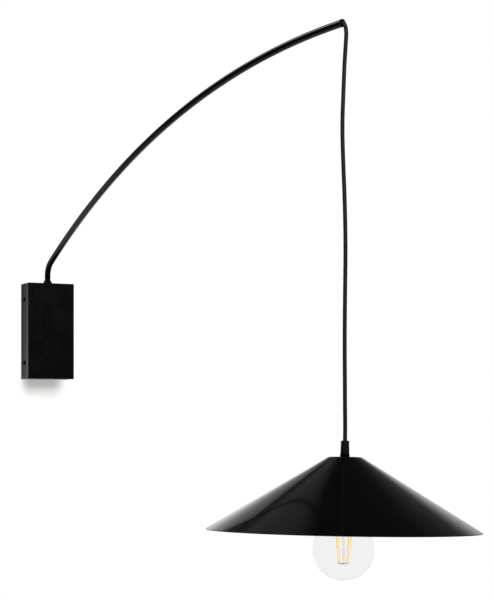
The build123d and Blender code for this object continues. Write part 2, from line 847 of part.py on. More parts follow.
with BuildPart() as bulb_globe:
    with BuildSketch(side_of(bulb)) as wall_section:
        with BuildLine():
            for inset in (0, globe_wall):
                neck = Line((neck_radius - inset, neck_top), (neck_radius - inset, neck_bottom))
                flow_radius = neck_sweep_radius + inset
                flow = JernArc(start=neck @ 1, tangent=neck % 1, radius=flow_radius, arc_size=sweep_angle)
                ball_radius = globe_radius - inset
                JernArc(start=flow @ 1, tangent=flow % 1, radius=ball_radius, arc_size=-90 - sweep_angle)
            Line((neck_radius, neck_top), (neck_radius - globe_wall, neck_top))
            Line((0, -globe_radius), (0, globe_wall - globe_radius))
        make_face()
    revolve(wall_section.sketch, axis=axis_of(bulb))
save(bulb_globe, "bulb_globe")

stem_high = neck_top - stem_inside_neck
stem_low = wire_link_height + wire_hub_height / 2

with BuildPart() as bulb_stem:
    flare = neck_radius - globe_wall - running_clearance
    turn(bulb, [
        (0, stem_press_top),
        (flare - stem_rim, stem_high),
        (flare, stem_high),
        (flare, stem_high - stem_rim),
        (stem_press_radius, stem_press_top),
        (stem_press_radius, stem_press_low),
        (stem_rod_radius, stem_press_low - stem_taper),
        (stem_rod_radius, stem_low),
        (0, stem_low),
    ])
save(bulb_stem, "bulb_stem")

filament_slope = (filament_high_radius - filament_low_radius) / (filament_high - filament_low)
filament_sides = [
    side_of(bulb.rotated((0, 0, filament_turn + place * 360 / filament_count)))
    for place in range(filament_count)
]


def on_filament(side, height):
    """A point on one filament's line, at this height over the globe's centre."""
    return side.from_local_coords((filament_low_radius + (height - filament_low) * filament_slope, height, 0))


with BuildPart() as bulb_filaments:
    for side in filament_sides:
        foot_point = on_filament(side, filament_low)
        rod = on_filament(side, filament_high) - foot_point
        drum(Plane(foot_point, z_dir=rod), filament_diameter, 0, 0, rod.length)
save(bulb_filaments, "bulb_filaments")

with BuildPart() as support_wires:
    drum(bulb, wire_hub_diameter, 0, stem_low - wire_hub_height, stem_low)
    for side in filament_sides:
        hub_point = side.from_local_coords((0, wire_link_height, 0))
        link = [hub_point, on_filament(side, wire_link_height), on_filament(side, filament_low)]
        tube_through(link, wire_diameter, "filament link", wire_bend_radius)
        lead_top = on_filament(side, filament_high + wire_lead_rise)
        pressed = side.from_local_coords((wire_pressed_radius, wire_pressed_height, 0))
        lead = [on_filament(side, filament_high), lead_top, pressed]
        tube_through(lead, wire_diameter, "filament lead", wire_bend_radius)
save(support_wires, "support_wires")

# ---------------------------------------------------------------- wiring in the box
flex_depth = plate_thickness + cord_diameter / 2            # the sheath lies on the back plate
pole_from_wall = plate_thickness + pole_depth
poles = [-pole_pitch, 0, pole_pitch]

with BuildPart() as box_flex:
    tube_through([
        swivel.from_local_coords((0, 0, stud_low - cord_gap)),
        (0, -arm_from_wall, flex_high_turn),
        (0, -flex_depth, flex_low_turn),
        (0, -flex_depth, flex_end),
    ], cord_diameter, "box_flex")
save(box_flex, "box_flex")


def box_core(side, pole):
    """One insulated core from the sheath's end down into its terminal."""
    return [
        (side * core_offset, -flex_depth, flex_end),
        (side * core_offset, -flex_depth, core_high_turn),
        (pole, -pole_from_wall, core_low_turn),
        (pole, -pole_from_wall, block_centre + wire_gap / 2),
    ]


with BuildPart() as live_core:
    tube_through(box_core(-1, poles[0]), core_diameter, "live_core")
save(live_core, "live_core")

with BuildPart() as neutral_core:
    tube_through(box_core(1, poles[1]), core_diameter, "neutral_core")
save(neutral_core, "neutral_core")

with BuildPart() as cord_clamp:
    clamp_top = clamp_bridge + cord_diameter / 2
    channel = Plane((0, -flex_depth, clamp_height), z_dir=(0, 0, 1))
    slab(clamp, clamp_width, clamp_length, plate_thickness, plate_thickness + clamp_foot)
    drum(channel, 2 * clamp_top, 0, -clamp_length / 2, clamp_length / 2)
    slab(clamp, clamp_width, clamp_length, -clamp_top, plate_thickness, mode=Mode.SUBTRACT)
    drum(channel, cord_fit, 0, -clamp_length, clamp_length, mode=Mode.SUBTRACT)
    slab(clamp, cord_fit, 2 * clamp_length, -cut_past, flex_depth, mode=Mode.SUBTRACT)
    for across in (-clamp_screw_spacing / 2, clamp_screw_spacing / 2):
        hole = m3 + 2 * running_clearance
        hole_end = plate_thickness + clamp_foot + cut_past
        drum(placed(clamp, across, 0), hole, 0, -cut_past, hole_end, mode=Mode.SUBTRACT)
save(cord_clamp, "cord_clamp")

with BuildPart() as clamp_screws:
    for across in (-clamp_screw_spacing / 2, clamp_screw_spacing / 2):
        seat_height = plate_thickness + clamp_foot
        seat = placed(clamp, across, 0).offset(seat_height)
        slotted_screw(seat, m3, seat_height - screw_end_gap, m3_head, m3_head_height)
save(clamp_screws, "clamp_screws")

block_top = plate_thickness + block_depth
sleeve_top = pole_from_wall + sleeve_diameter / 2
terminal_tip = pole_from_wall + core_diameter / 2 + running_clearance
terminal_seat = sleeve_top + screw_end_gap
terminal_rows = (-terminal_screw_spacing / 2, terminal_screw_spacing / 2)
terminal_places = [(pole, row) for pole in poles for row in terminal_rows]
sleeve_planes = [Plane((pole, -pole_from_wall, block_centre), z_dir=(0, 0, 1)) for pole in poles]
block_seat = block_top - m3_head_height

with BuildPart() as terminal_block:
    slab(block, block_width, block_length, plate_thickness, block_top)
    sleeve_hole = sleeve_diameter + 2 * running_clearance
    well_end = block_top + cut_past
    for plane in sleeve_planes:
        drum(plane, sleeve_hole, 0, -block_length, block_length, mode=Mode.SUBTRACT)
    for pole, row in terminal_places:
        drum(placed(block, pole, row), terminal_well, 0, pole_from_wall, well_end, mode=Mode.SUBTRACT)
    for across in (-pole_pitch / 2, pole_pitch / 2):
        fixing = placed(block, across, 0)
        drum(fixing, m3 + 2 * running_clearance, 0, 0, block_top, mode=Mode.SUBTRACT)
        drum(fixing, m3_head + 2 * loose_clearance, 0, block_seat, well_end, mode=Mode.SUBTRACT)
save(terminal_block, "terminal_block")

with BuildPart() as terminal_sleeves:
    for plane in sleeve_planes:
        drum(plane, sleeve_diameter, sleeve_bore, -sleeve_length / 2, sleeve_length / 2)
    for pole, row in terminal_places:
        hole = terminal_screw_diameter + 2 * running_clearance
        drum(placed(block, pole, row), hole, 0, pole_from_wall, sleeve_top + cut_past, mode=Mode.SUBTRACT)
save(terminal_sleeves, "terminal_sleeves")

with BuildPart() as terminal_screws:
    for pole, row in terminal_places:
        seat = placed(block, pole, row).offset(terminal_seat)
        slotted_screw(seat, terminal_screw_diameter, terminal_seat - terminal_tip, terminal_head,
                      terminal_head_height)
save(terminal_screws, "terminal_screws")

with BuildPart() as block_screws:
    for across in (-pole_pitch / 2, pole_pitch / 2):
        seat = placed(block, across, 0).offset(block_seat)
        slotted_screw(seat, m3, block_seat - screw_end_gap, m3_head, m3_head_height)
save(block_screws, "block_screws")

with BuildPart() as cable_grommet:
    drum(entry, grommet_hole, cable_entry, 0, grommet_length)
    drum(entry, grommet_flange, cable_entry, plate_thickness, plate_thickness + grommet_flange_height)
save(cable_grommet, "cable_grommet")

lug_top = plate_thickness + lug_thickness
earth_washer_top = lug_top + earth_washer_height
barrel_depth = plate_thickness + (lug_thickness + lug_barrel_diameter) / 2
barrel_top = earth_height - earth_washer_diameter / 2 - loose_clearance
barrel = Plane((earth_across, -barrel_depth, barrel_top), z_dir=(0, 0, -1))

with BuildPart() as earth_lug:
    drum(earth, lug_diameter, 0, plate_thickness, lug_top)
    slab(placed(earth, 0, -lug_diameter / 2), lug_barrel_diameter, lug_tongue, plate_thickness, lug_top)
    drum(barrel, lug_barrel_diameter, 0, 0, lug_barrel_length)
    core_fit = core_diameter + 2 * running_clearance
    drum(barrel, core_fit, 0, 0, lug_barrel_length + cut_past, mode=Mode.SUBTRACT)
    drum(earth, m4 + 2 * loose_clearance, 0, 0, lug_top + cut_past, mode=Mode.SUBTRACT)
save(earth_lug, "earth_lug")

with BuildPart() as earth_washer:
    drum(earth, earth_washer_diameter, m4 + 2 * loose_clearance, lug_top, earth_washer_top)
save(earth_washer, "earth_washer")

with BuildPart() as earth_screw:
    seat = earth.offset(earth_washer_top)
    slotted_screw(seat, m4, earth_washer_top - screw_end_gap, m4_head, m4_head_height)
save(earth_screw, "earth_screw")

with BuildPart() as earth_link:
    tube_through([
        (poles[2], -pole_from_wall, block_centre - wire_gap / 2),
        (poles[2], -pole_from_wall, link_low_turn),
        (link_low_across, -(pole_from_wall + barrel_depth) / 2, link_lowest),
        (earth_across, -barrel_depth, link_high_turn),
        (earth_across, -barrel_depth, barrel_top - link_in_lug),
    ], core_diameter, "earth_link")
save(earth_link, "earth_link")
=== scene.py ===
"""Hanging pendant wall sconce: black wall box, curved tube arm, cord, black cone shade and clear globe bulb.

Shapes are drawn in millimetres about the z axis, then put at their place in the frame, which is in metres.
"""
import bmesh
import bpy
import json
from math import asin, atan2, cos, pi, radians, sin, sqrt, tan
from mathutils import Matrix, Vector


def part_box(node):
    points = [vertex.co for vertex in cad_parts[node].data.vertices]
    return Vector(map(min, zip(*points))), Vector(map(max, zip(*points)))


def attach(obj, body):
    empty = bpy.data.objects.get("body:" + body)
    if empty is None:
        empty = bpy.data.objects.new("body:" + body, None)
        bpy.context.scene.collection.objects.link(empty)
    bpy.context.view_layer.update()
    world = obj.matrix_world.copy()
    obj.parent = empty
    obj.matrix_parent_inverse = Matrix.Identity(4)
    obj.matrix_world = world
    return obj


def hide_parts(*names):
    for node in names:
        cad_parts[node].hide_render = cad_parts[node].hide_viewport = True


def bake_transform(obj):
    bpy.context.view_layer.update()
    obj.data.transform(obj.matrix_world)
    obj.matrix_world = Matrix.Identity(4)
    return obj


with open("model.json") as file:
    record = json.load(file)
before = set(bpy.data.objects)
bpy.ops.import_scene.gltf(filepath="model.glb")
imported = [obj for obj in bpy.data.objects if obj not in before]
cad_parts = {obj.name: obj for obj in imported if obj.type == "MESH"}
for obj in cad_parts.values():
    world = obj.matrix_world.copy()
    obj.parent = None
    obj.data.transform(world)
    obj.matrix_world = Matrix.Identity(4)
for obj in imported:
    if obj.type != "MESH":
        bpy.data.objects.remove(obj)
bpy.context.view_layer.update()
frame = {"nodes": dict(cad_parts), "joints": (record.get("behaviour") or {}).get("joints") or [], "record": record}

MM = 0.001
UP = Vector((0, 0, 1))
RIGHT = Vector((1, 0, 0))

# ---------------------------------------------------------------- places, from the frame
joints = {joint["name"]: joint for joint in frame["joints"]}
swivel = Vector(joints["arm_swivel"]["pos_m"])              # middle of the swivel, on the box's top
mouth = Vector(joints["sway_across"]["pos_m"])              # middle of the arm's mouth
arm_way = Vector(joints["sway_across"]["axis"]).normalized()
arm_across = Vector(joints["sway_along"]["axis"]).normalized()
head_up = -Vector(joints["bulb_out"]["axis"]).normalized()  # the hanging head's own axis
head_right = Vector((0, 1, 0)).cross(head_up).normalized()
box_low, box_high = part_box("housing")

# ---------------------------------------------------------------- sizes in millimetres
merge_distance = 0.002
clearance = 0.1             # of a screw, bush or plug in its hole
seal_gap = 0.05             # between the bulb's glass and what holds it
drill_reach = 5.0           # a drill starts this far outside a wall and ends this far inside it
fine_round = 0.2            # the rounds of small edges
edge_round = 0.3
soft_round = 0.5
full_round = 0.6

box_wall = 1.5
box_edge = 2.0
cover_spacing = 132.0
cover_from_wall = 23.3
cover_hole = 5.8
screw_thread = 5.0
screw_length = 9.0
screw_head = 10.5
screw_head_height = 3.4
screw_head_rim = 0.8
screw_socket = 3.0
screw_socket_depth = 2.0
screw_socket_start = 1.0    # its cutter starts this far above the head
screw_tip = 0.5

bush_bore = 12.1
bush_outer = 15.1
bush_flange = 19.4
bush_flange_height = 0.9
bush_depth = 4.5
foot_low = 1.0              # the arm's foot turns this far above the box
foot_high = 4.0             # where the tube starts
collar_foot = 18.8
collar_lip = 0.9
collar_height = 6.4
collar_bore = 12.1
collar_room = 15.1
collar_top_wall = 0.7
collar_foot_round = 0.25

tube_diameter = 12.0
tube_wall = 1.2
tube_sides = 48
stub_height = 16.6
foot_bend_radius = 33.3
foot_bend_steps = 20
arc_radius = 1834.6
arc_rise = 33.07            # degrees that the long arc turns through
arc_steps = 110
lip_height = 2.5
lip_round = 1.2
lip_proud = 0.5
lip_back_round = 0.4
bushing_plug = 14.0
bushing_bore = 7.6
mouth_round = 1.1

cord_diameter = 6.6
ring_height = 5.0
ring_lip = 0.8
ring_top_diameter = 14.6
ring_foot_diameter = 15.6
ring_top_round = 0.7
grip_height = 20.4
grip_top_diameter = 13.1
grip_foot_diameter = 14.2
grip_round = 1.2
grip_thread_depth = 10.0
grip_screw_diameter = 4.0
grip_screw_height = 14.0
grip_screw_proud = 0.8
slot_width = 0.8
slot_depth = 0.8
nipple_fit = 10.1
cord_fit = 6.7

shade_diameter = 433.0
shade_top_diameter = 53.0
shade_height = 116.0
shade_thickness = 1.2
shade_shoulder = 6.0
rim_round = 0.56

neck_high = -9.5            # heights along the head's axis, from the shade's flat top
neck_low = -18.5
holder_neck_diameter = 16.0
holder_neck_floor = 3.0
holder_diameter = 40.0
holder_wall = 2.0
holder_shoulder = 8.0
holder_shoulder_drop = 2.0
holder_ledge = 1.5
holder_ledge_height = 2.0
cap_low = -40.5
body_low = -77.5

bulb_high = -51.4
globe_centre = -144.9
bulb_contact_diameter = 8.4
bulb_contact_height = 1.0
insulator_height = 3.4
insulator_rim = 1.0
insulator_diameter = 19.6
insulator_tip_diameter = 10.0
thread_diameter = 26.2
thread_pitch = 3.62
thread_depth = 0.9
thread_turns = 5
thread_rings = 12           # rings of points to a turn
thread_ease = 1.5           # how fast the thread runs out at its ends, in depths to a turn
cap_height = 24.0
cap_shoulder = 1.4
sheet_metal = 0.4
globe_diameter = 97.0
globe_wall = 1.0
neck_diameter = 25.0
neck_top = 69.1             # heights from the globe's middle
neck_sweep_radius = 24.0
neck_sweep_steps = 14
ball_steps = 56
stem_press_radius = 3.2
stem_press_top = 46.0
stem_press_low = 35.0
stem_rod_radius = 2.0
stem_taper = 2.0
stem_rim = 0.8
stem_flare_round = 3.0
stem_round = 1.0
stem_high = 67.5
stem_low = -21.9
filament_diameter = 2.0
filament_low_radius = 9.7
filament_high_radius = 13.9
filament_low = -18.5
filament_high = 19.3
filament_count = 4
filament_turn = 27.1
wire_diameter = 0.8
wire_link_height = -22.7
wire_lead_rise = 4.0
wire_link_flat = 3.0        # the link is level up to this far before its corner
wire_corner = 0.2
wire_bend = 1.4
wire_overlap = 0.3
wire_pressed_height = 38.0
wire_pressed_radius = 1.5
wire_hub_diameter = 2.4
wire_hub_height = 1.6

# The cord's route in metres, from the mouth's middle: along the arm, across it to the right, and up.
cord_route = [
    (-0.009, 0.0, 0.0),
    (0.0014, 0.0, 0.0002),
    (0.0056, 0.0, -0.0046),
    (0.0083, 0.0, -0.0115),
    (0.0089, 0.0, -0.0205),
    (0.0080, -0.0003, -0.0330),
    (0.0067, -0.0016, -0.0610),
    (0.0060, -0.0021, -0.0800),
    (0.0053, -0.0029, -0.1090),
    (0.0039, -0.0044, -0.1630),
    (0.0045, -0.0029, -0.2180),
    (0.0058, -0.0007, -0.2800),
    (0.0062, 0.0007, -0.3510),
    (0.0054, 0.0002, -0.4220),
    (0.0047, -0.0002, -0.4980),
    (0.0046, 0.0004, -0.5640),
    (0.0043, 0.0009, -0.6100),
    (0.0042, 0.0014, -0.6350),
    (0.00467, 0.00065, -0.6571),
]


# ---------------------------------------------------------------- working the shapes
def put_down():
    """Leaves edit mode and lets go of everything."""
    if bpy.context.mode != "OBJECT":
        bpy.ops.object.mode_set(mode="OBJECT")
    bpy.ops.object.select_all(action="DESELECT")


def take(piece):
    """Takes one piece alone in hand."""
    put_down()
    piece.select_set(True)
    bpy.context.view_layer.objects.active = piece


def close_up(piece):
    """Merges a shape's seams and poles and points its faces outwards."""
    take(piece)
    bpy.ops.object.mode_set(mode="EDIT")
    bpy.ops.mesh.select_all(action="SELECT")
    bpy.ops.mesh.remove_doubles(threshold=merge_distance)
    bpy.ops.mesh.normals_make_consistent(inside=False)
    bpy.ops.object.mode_set(mode="OBJECT")


def choose(kind, wanted):
    """Selects the edges or faces of the piece in edit mode that the test wants."""
    mesh = bmesh.from_edit_mesh(bpy.context.object.data)
    bpy.ops.mesh.select_all(action="DESELECT")
    for part in getattr(mesh, kind):
        if wanted(part):
            part.select_set(True)
    bmesh.update_edit_mesh(bpy.context.object.data)


def rounded(corners, steps=6):
    """A closed or open outline with round corners, from (radius, height, corner radius) points."""
    outline = []
    for place, (x, y, bend) in enumerate(corners):
        corner = Vector((x, y))
        if not bend:
            outline.append(corner)
            continue
        back = (Vector(corners[place - 1][:2]) - corner).normalized()
        ahead = (Vector(corners[(place + 1) % len(corners)][:2]) - corner).normalized()
        half = back.angle(ahead) / 2
        centre = corner + (back + ahead).normalized() * bend / sin(half)
        first = (corner + back * bend / tan(half) - centre).normalized()
        last = (corner + ahead * bend / tan(half) - centre).normalized()
        outline += [centre + bend * first.slerp(last, step / steps) for step in range(steps + 1)]
    return outline


def arc(x, y, radius, start, end, steps):
    """Points on an arc about (x, y); angles are in degrees from the x direction."""
    turns = [radians(start + (end - start) * step / steps) for step in range(steps + 1)]
    return [Vector((x + radius * cos(turn), y + radius * sin(turn))) for turn in turns]


def lathe(name, outline, steps=96):
    """A turned shape: one point is drawn out along the outline, and the line is spun round the z axis."""
    put_down()
    bpy.ops.mesh.primitive_plane_add(size=1, location=(0, 0, 0), enter_editmode=True)
    bpy.ops.mesh.merge(type="CENTER")
    x, y = outline[0][:2]
    bpy.ops.transform.translate(value=(x, 0, y))
    for next_x, next_y in (point[:2] for point in outline[1:]):
        bpy.ops.mesh.extrude_vertices_move(TRANSFORM_OT_translate={"value": (next_x - x, 0, next_y - y)})
        x, y = next_x, next_y
    bpy.ops.mesh.select_all(action="SELECT")
    bpy.ops.mesh.spin(steps=steps, angle=2 * pi, center=(0, 0, 0), axis=(0, 0, 1))
    piece = bpy.context.object
    piece.name = name
    close_up(piece)
    return piece


def turned(name, corners, bends=6, steps=96):
    """A turned shape from its corners: a solid one starts and ends on the axis, a ring closes on itself."""
    outline = rounded(corners, bends)
    if outline[0].x:
        outline.append(outline[0])
    return lathe(name, outline, steps)


def cut(piece, cutter):
    """Cuts the second shape out of the first, and throws it away."""
    take(piece)
    bpy.ops.object.modifier_add(type="BOOLEAN")
    hole = piece.modifiers[-1]
    hole.operation = "DIFFERENCE"
    hole.solver = "EXACT"
    hole.object = cutter
    bpy.ops.object.modifier_apply(modifier=hole.name)
    bpy.data.objects.remove(cutter)


def thicken(piece, wall, even=False):
    """Gives a shell its wall, inwards."""
    bpy.ops.object.modifier_add(type="SOLIDIFY")
    shell = piece.modifiers[-1]
    shell.thickness = wall
    shell.offset = -1
    shell.use_even_offset = even
    bpy.ops.object.modifier_apply(modifier=shell.name)


def drill(piece, diameter, start, way, depth, sides=48):
    """Cuts a round hole, or a hexagonal one with six sides, into the piece."""
    put_down()
    middle = Vector(start) + Vector(way) * depth / 2
    turn = Vector(way).to_track_quat("Z", "Y").to_euler()
    bpy.ops.mesh.primitive_cylinder_add(
        vertices=sides, radius=diameter / 2, depth=depth, location=middle, rotation=turn)
    cut(piece, bpy.context.object)


def smooth_line(name, points, resolution):
    """A curve of one smooth spline with these control points."""
    line = bpy.data.curves.new(name, "CURVE")
    line.dimensions = "3D"
    spline = line.splines.new("NURBS")
    spline.points.add(len(points) - 1)
    for point, place in zip(spline.points, points):
        point.co = (*place, 1)
    spline.order_u = 3
    spline.use_endpoint_u = True
    spline.resolution_u = resolution
    guide = bpy.data.objects.new(name, line)
    bpy.context.scene.collection.objects.link(guide)
    return guide


def tube_along(guide, name, diameter, facets):
    """The closed round tube along a curve, as a mesh in the curve's place."""
    guide.data.bevel_depth = diameter / 2
    guide.data.bevel_resolution = facets
    guide.data.use_fill_caps = True
    bpy.context.view_layer.update()
    tube = bpy.data.objects.new(name, bpy.data.meshes.new_from_object(guide))
    bpy.context.scene.collection.objects.link(tube)
    bpy.data.objects.remove(guide)
    return tube


def stood(origin, up, right):
    """The place of a shape that was drawn about the z axis in millimetres."""
    right = (right - up * right.dot(up)).normalized()
    axes = Matrix((right, up.cross(right), up)).transposed().to_4x4()
    return Matrix.Translation(origin) @ axes @ Matrix.Scale(MM, 4)


def finish(piece, place, finish_name, body=None, nodes=(), smooth=40):
    """Puts the shape at its place, smooths it, and gives it its finish, body and the nodes it replaces."""
    take(piece)
    piece.matrix_world = place
    bpy.ops.object.transform_apply(location=True, rotation=True, scale=True)
    bpy.ops.object.shade_smooth_by_angle(angle=radians(smooth))
    piece.data.materials.clear()
    piece.data.materials.append(finishes[finish_name])
    piece.data.name = piece.name
    if body:
        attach(piece, body)
    if nodes:
        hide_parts(*nodes)


def copied(piece, name):
    """A copy with its own mesh."""
    twin = piece.copy()
    twin.data = piece.data.copy()
    twin.name = name
    bpy.context.scene.collection.objects.link(twin)
    return twin


# ---------------------------------------------------------------- finishes
def linear(code):
    """An sRGB hex colour as linear values."""
    shares = [int(code[start:start + 2], 16) / 255 for start in (1, 3, 5)]
    straight = [share / 12.92 if share <= 0.04045 else ((share + 0.055) / 1.055) ** 2.4 for share in shares]
    return [*straight, 1.0]


def add(tree, kind, settings=None, inputs=None):
    """Adds a node with its settings and links; an input is given by its name or its number."""
    made = tree.nodes.new(kind)
    for name, value in (settings or {}).items():
        setattr(made, name, value)
    for name, value in (inputs or {}).items():
        if isinstance(value, bpy.types.NodeSocket):
            tree.links.new(value, made.inputs[name])
        else:
            made.inputs[name].default_value = value
    return made


def principled(name, colour, roughness, metallic=0.0, ior=1.5, **sockets):
    """A new material, its node tree and its shader."""
    made = bpy.data.materials.new(name)
    made.use_nodes = True
    shader = made.node_tree.nodes["Principled BSDF"]
    values = {"Base Color": linear(colour), "Roughness": roughness, "Metallic": metallic, "IOR": ior}
    for socket, value in {**values, **sockets}.items():
        shader.inputs[socket].default_value = value
    return made, made.node_tree, shader


def spots(tree, size, detail=2.0, stretch=(1, 1, 1)):
    """Soft random spots of about this size in millimetres, fixed to the object."""
    where = add(tree, "ShaderNodeTexCoord").outputs["Object"]
    where = add(tree, "ShaderNodeMapping", inputs={"Vector": where, "Scale": stretch}).outputs["Vector"]
    inputs = {"Vector": where, "Scale": 1 / (size * MM), "Detail": detail}
    return add(tree, "ShaderNodeTexNoise", inputs=inputs).outputs["Fac"]


def bands(tree, spacing, way="X"):
    """Bands this far apart in millimetres; the Wave node goes through 20 radians to a unit."""
    where = add(tree, "ShaderNodeTexCoord").outputs["Object"]
    inputs = {"Vector": where, "Scale": 2 * pi / (20 * spacing * MM)}
    return add(tree, "ShaderNodeTexWave", {"bands_direction": way}, inputs).outputs["Fac"]


def spread(tree, source, low, high):
    """A socket's values from about 0.3 to 0.7, spread over low to high."""
    inputs = {"Value": source, "From Min": 0.3, "From Max": 0.7, "To Min": low, "To Max": high}
    return add(tree, "ShaderNodeMapRange", inputs=inputs).outputs["Result"]


def tinted(tree, source, dark, light):
    """A colour between two hex colours; inputs 6 and 7 and output 2 are the Mix node's colours."""
    inputs = {"Factor": source, 6: linear(dark), 7: linear(light)}
    return add(tree, "ShaderNodeMix", {"data_type": "RGBA"}, inputs).outputs[2]


def bumped(tree, shader, source, height):
    """A bump of this height in millimetres."""
    bump = add(tree, "ShaderNodeBump", inputs={"Height": source, "Distance": height * MM, "Strength": 1.0})
    tree.links.new(bump.outputs["Normal"], shader.inputs["Normal"])


def lacquer(name, colour, roughness, peel):
    """Steel sprayed with black lacquer: a deep gloss with the faint waves of orange peel and a little dust.

    Real waves are 1 to 3 mm wide; they are drawn coarser, so that they show.
    """
    made, tree, shader = principled(name, colour, roughness)
    bumped(tree, shader, spots(tree, 6.0, detail=1.0), peel)
    dust = spots(tree, 38.0, detail=6.0)
    tree.links.new(spread(tree, dust, roughness * 0.85, roughness * 1.25), shader.inputs["Roughness"])
    tree.links.new(tinted(tree, dust, "#040404", colour), shader.inputs["Base Color"])
    return made


def metal(name, dark, light, roughness, grain, stretch=(1, 1, 1)):
    """Bare or plated metal with its grain, which also varies its gloss."""
    made, tree, shader = principled(name, light, roughness, metallic=1.0)
    pattern = spots(tree, grain, detail=4.0, stretch=stretch)
    bumped(tree, shader, pattern, 0.01)
    tree.links.new(spread(tree, pattern, roughness * 0.8, roughness * 1.25), shader.inputs["Roughness"])
    tree.links.new(tinted(tree, pattern, dark, light), shader.inputs["Base Color"])
    return made


def moulded(name, dark, light, roughness, grain, height, ior=1.5):
    """Moulded or extruded plastic, rubber, ceramic or glass with the fine grain that its tool left."""
    made, tree, shader = principled(name, light, roughness, ior=ior)
    pattern = spots(tree, grain, detail=3.0)
    bumped(tree, shader, pattern, height)
    tree.links.new(spread(tree, pattern, roughness * 0.85, roughness * 1.2), shader.inputs["Roughness"])
    tree.links.new(tinted(tree, spots(tree, 9 * grain), dark, light), shader.inputs["Base Color"])
    return made


def striped(name, first, second):
    """PVC in two colours, in bands along the wire."""
    made, tree, shader = principled(name, first, 0.45)
    tree.links.new(tinted(tree, bands(tree, 2.3687), first, second), shader.inputs["Base Color"])
    return made


def blown_glass():
    """Clear soda-lime glass, blown: bright and nearly unseen, with faint waves from blowing."""
    made, tree, shader = principled("clear_blown_glass", "#F8F8F8", 0.0, ior=1.015)
    shader.inputs["Transmission Weight"].default_value = 1.0
    bumped(tree, shader, spots(tree, 45.0, detail=0.0), 0.05)
    return made


def pressed_glass():
    """Clear lead glass, drawn and pinched: slightly green, with pulled streaks."""
    made, tree, shader = principled("clear_pressed_glass", "#F0F5EC", 0.02, ior=1.56)
    shader.inputs["Transmission Weight"].default_value = 1.0
    bumped(tree, shader, spots(tree, 2.0, stretch=(1, 1, 0.15)), 0.05)
    return made


def phosphor():
    """LED filament under its amber silicone and phosphor coat: matt, with the chips as fine beads and a painted
    glow.
    """
    # Painted glow: the unlit filament gives off faint amber light of its own, standing in for light shining
    # through its coat.
    made, tree, shader = principled("amber_phosphor_silicone", "#EFC06A", 0.55, **{"Emission Strength": 0.7})
    shader.inputs["Emission Color"].default_value = linear("#EFC878")
    beads = bands(tree, 0.69087, "Z")
    bumped(tree, shader, beads, 0.06)
    tree.links.new(tinted(tree, beads, "#E6BC72", "#F6DCA6"), shader.inputs["Base Color"])
    return made


# Grain sizes are in millimetres. But for the glaze's ripple, the real grains are a tenth of a millimetre or
# less, and are drawn coarser so that they show.
finishes = {
    # The box's thicker coat blurs what it mirrors, the tube's blurs it less, the spun shade mirrors sharply.
    "box_enamel": lacquer("steel_sprayed_satin_black", "#101011", 0.26, 0.004),
    "arm_enamel": lacquer("steel_tube_sprayed_black", "#070708", 0.18, 0.003),
    "shade_enamel": lacquer("spun_steel_sprayed_gloss_black", "#060607", 0.07, 0.002),
    # Dark metal, matt enough to look grey beside the lacquer: blackened screws and a turned, anodised ring.
    "black_screws": metal("blackened_steel", "#1A1A1B", "#2C2C2E", 0.38, 0.8),
    "black_ring": metal("black_anodised_aluminium", "#3A3A3C", "#4A4A4C", 0.34, 0.6),
    # Bare and plated metal: cool zinc, warm turned brass, dull tin, and nickel rolled or drawn bright.
    "zinc_steel": metal("bright_zinc_plated_steel", "#A4A9AD", "#C3C7CA", 0.34, 6.0),
    "brass": metal("machined_brass", "#B08B47", "#CFAE66", 0.28, 0.5, (1, 1, 12)),
    "tinned_copper": metal("tinned_copper", "#A9A69E", "#C6C3BB", 0.36, 1.2),
    "nickel_cap": metal("rolled_nickel_plated_brass", "#A9A69E", "#C9C6BE", 0.22, 2.0),
    "nickel_wire": metal("drawn_nickel_wire", "#96938B", "#BDB9B0", 0.30, 0.4, (1, 1, 0.1)),
    # Moulded parts: milky nylon with a soft shine, black plastic with less, and rubber that is nearly matt.
    "nylon": moulded("moulded_natural_nylon", "#CFCABC", "#DEDACE", 0.42, 0.7, 0.01),
    "black_plastic": moulded("moulded_black_pbt", "#0D0D0E", "#151516", 0.36, 2.0, 0.004),
    "black_rubber": moulded("moulded_black_rubber", "#141414", "#202020", 0.62, 0.5, 0.02),
    # Glazed and fired parts: a wet shine over cream porcelain and over black glass.
    "porcelain": moulded("glazed_porcelain", "#DDD8CB", "#ECE8DE", 0.14, 2.0, 0.01, ior=1.54),
    "black_glass": moulded("black_cap_glass", "#08080A", "#141418", 0.12, 2.0, 0.01, ior=1.52),
    # Extruded PVC: the cord's even charcoal sheath with a dull shine, and the bright cores inside the lamp.
    "cord_sheath": moulded("extruded_black_pvc", "#18181A", "#202022", 0.45, 4.0, 0.01),
    "brown_core": moulded("extruded_brown_pvc", "#4A2C1A", "#5C3822", 0.45, 0.5, 0.01),
    "blue_core": moulded("extruded_blue_pvc", "#1C4A9A", "#2459B0", 0.45, 0.5, 0.01),
    "green_yellow_core": striped("extruded_green_yellow_pvc", "#2F8A3A", "#E0C62C"),
    # The bulb's glass and filaments, which their own functions describe.
    "bulb_glass": blown_glass(),
    "stem_glass": pressed_glass(),
    "filament_phosphor": phosphor(),
}


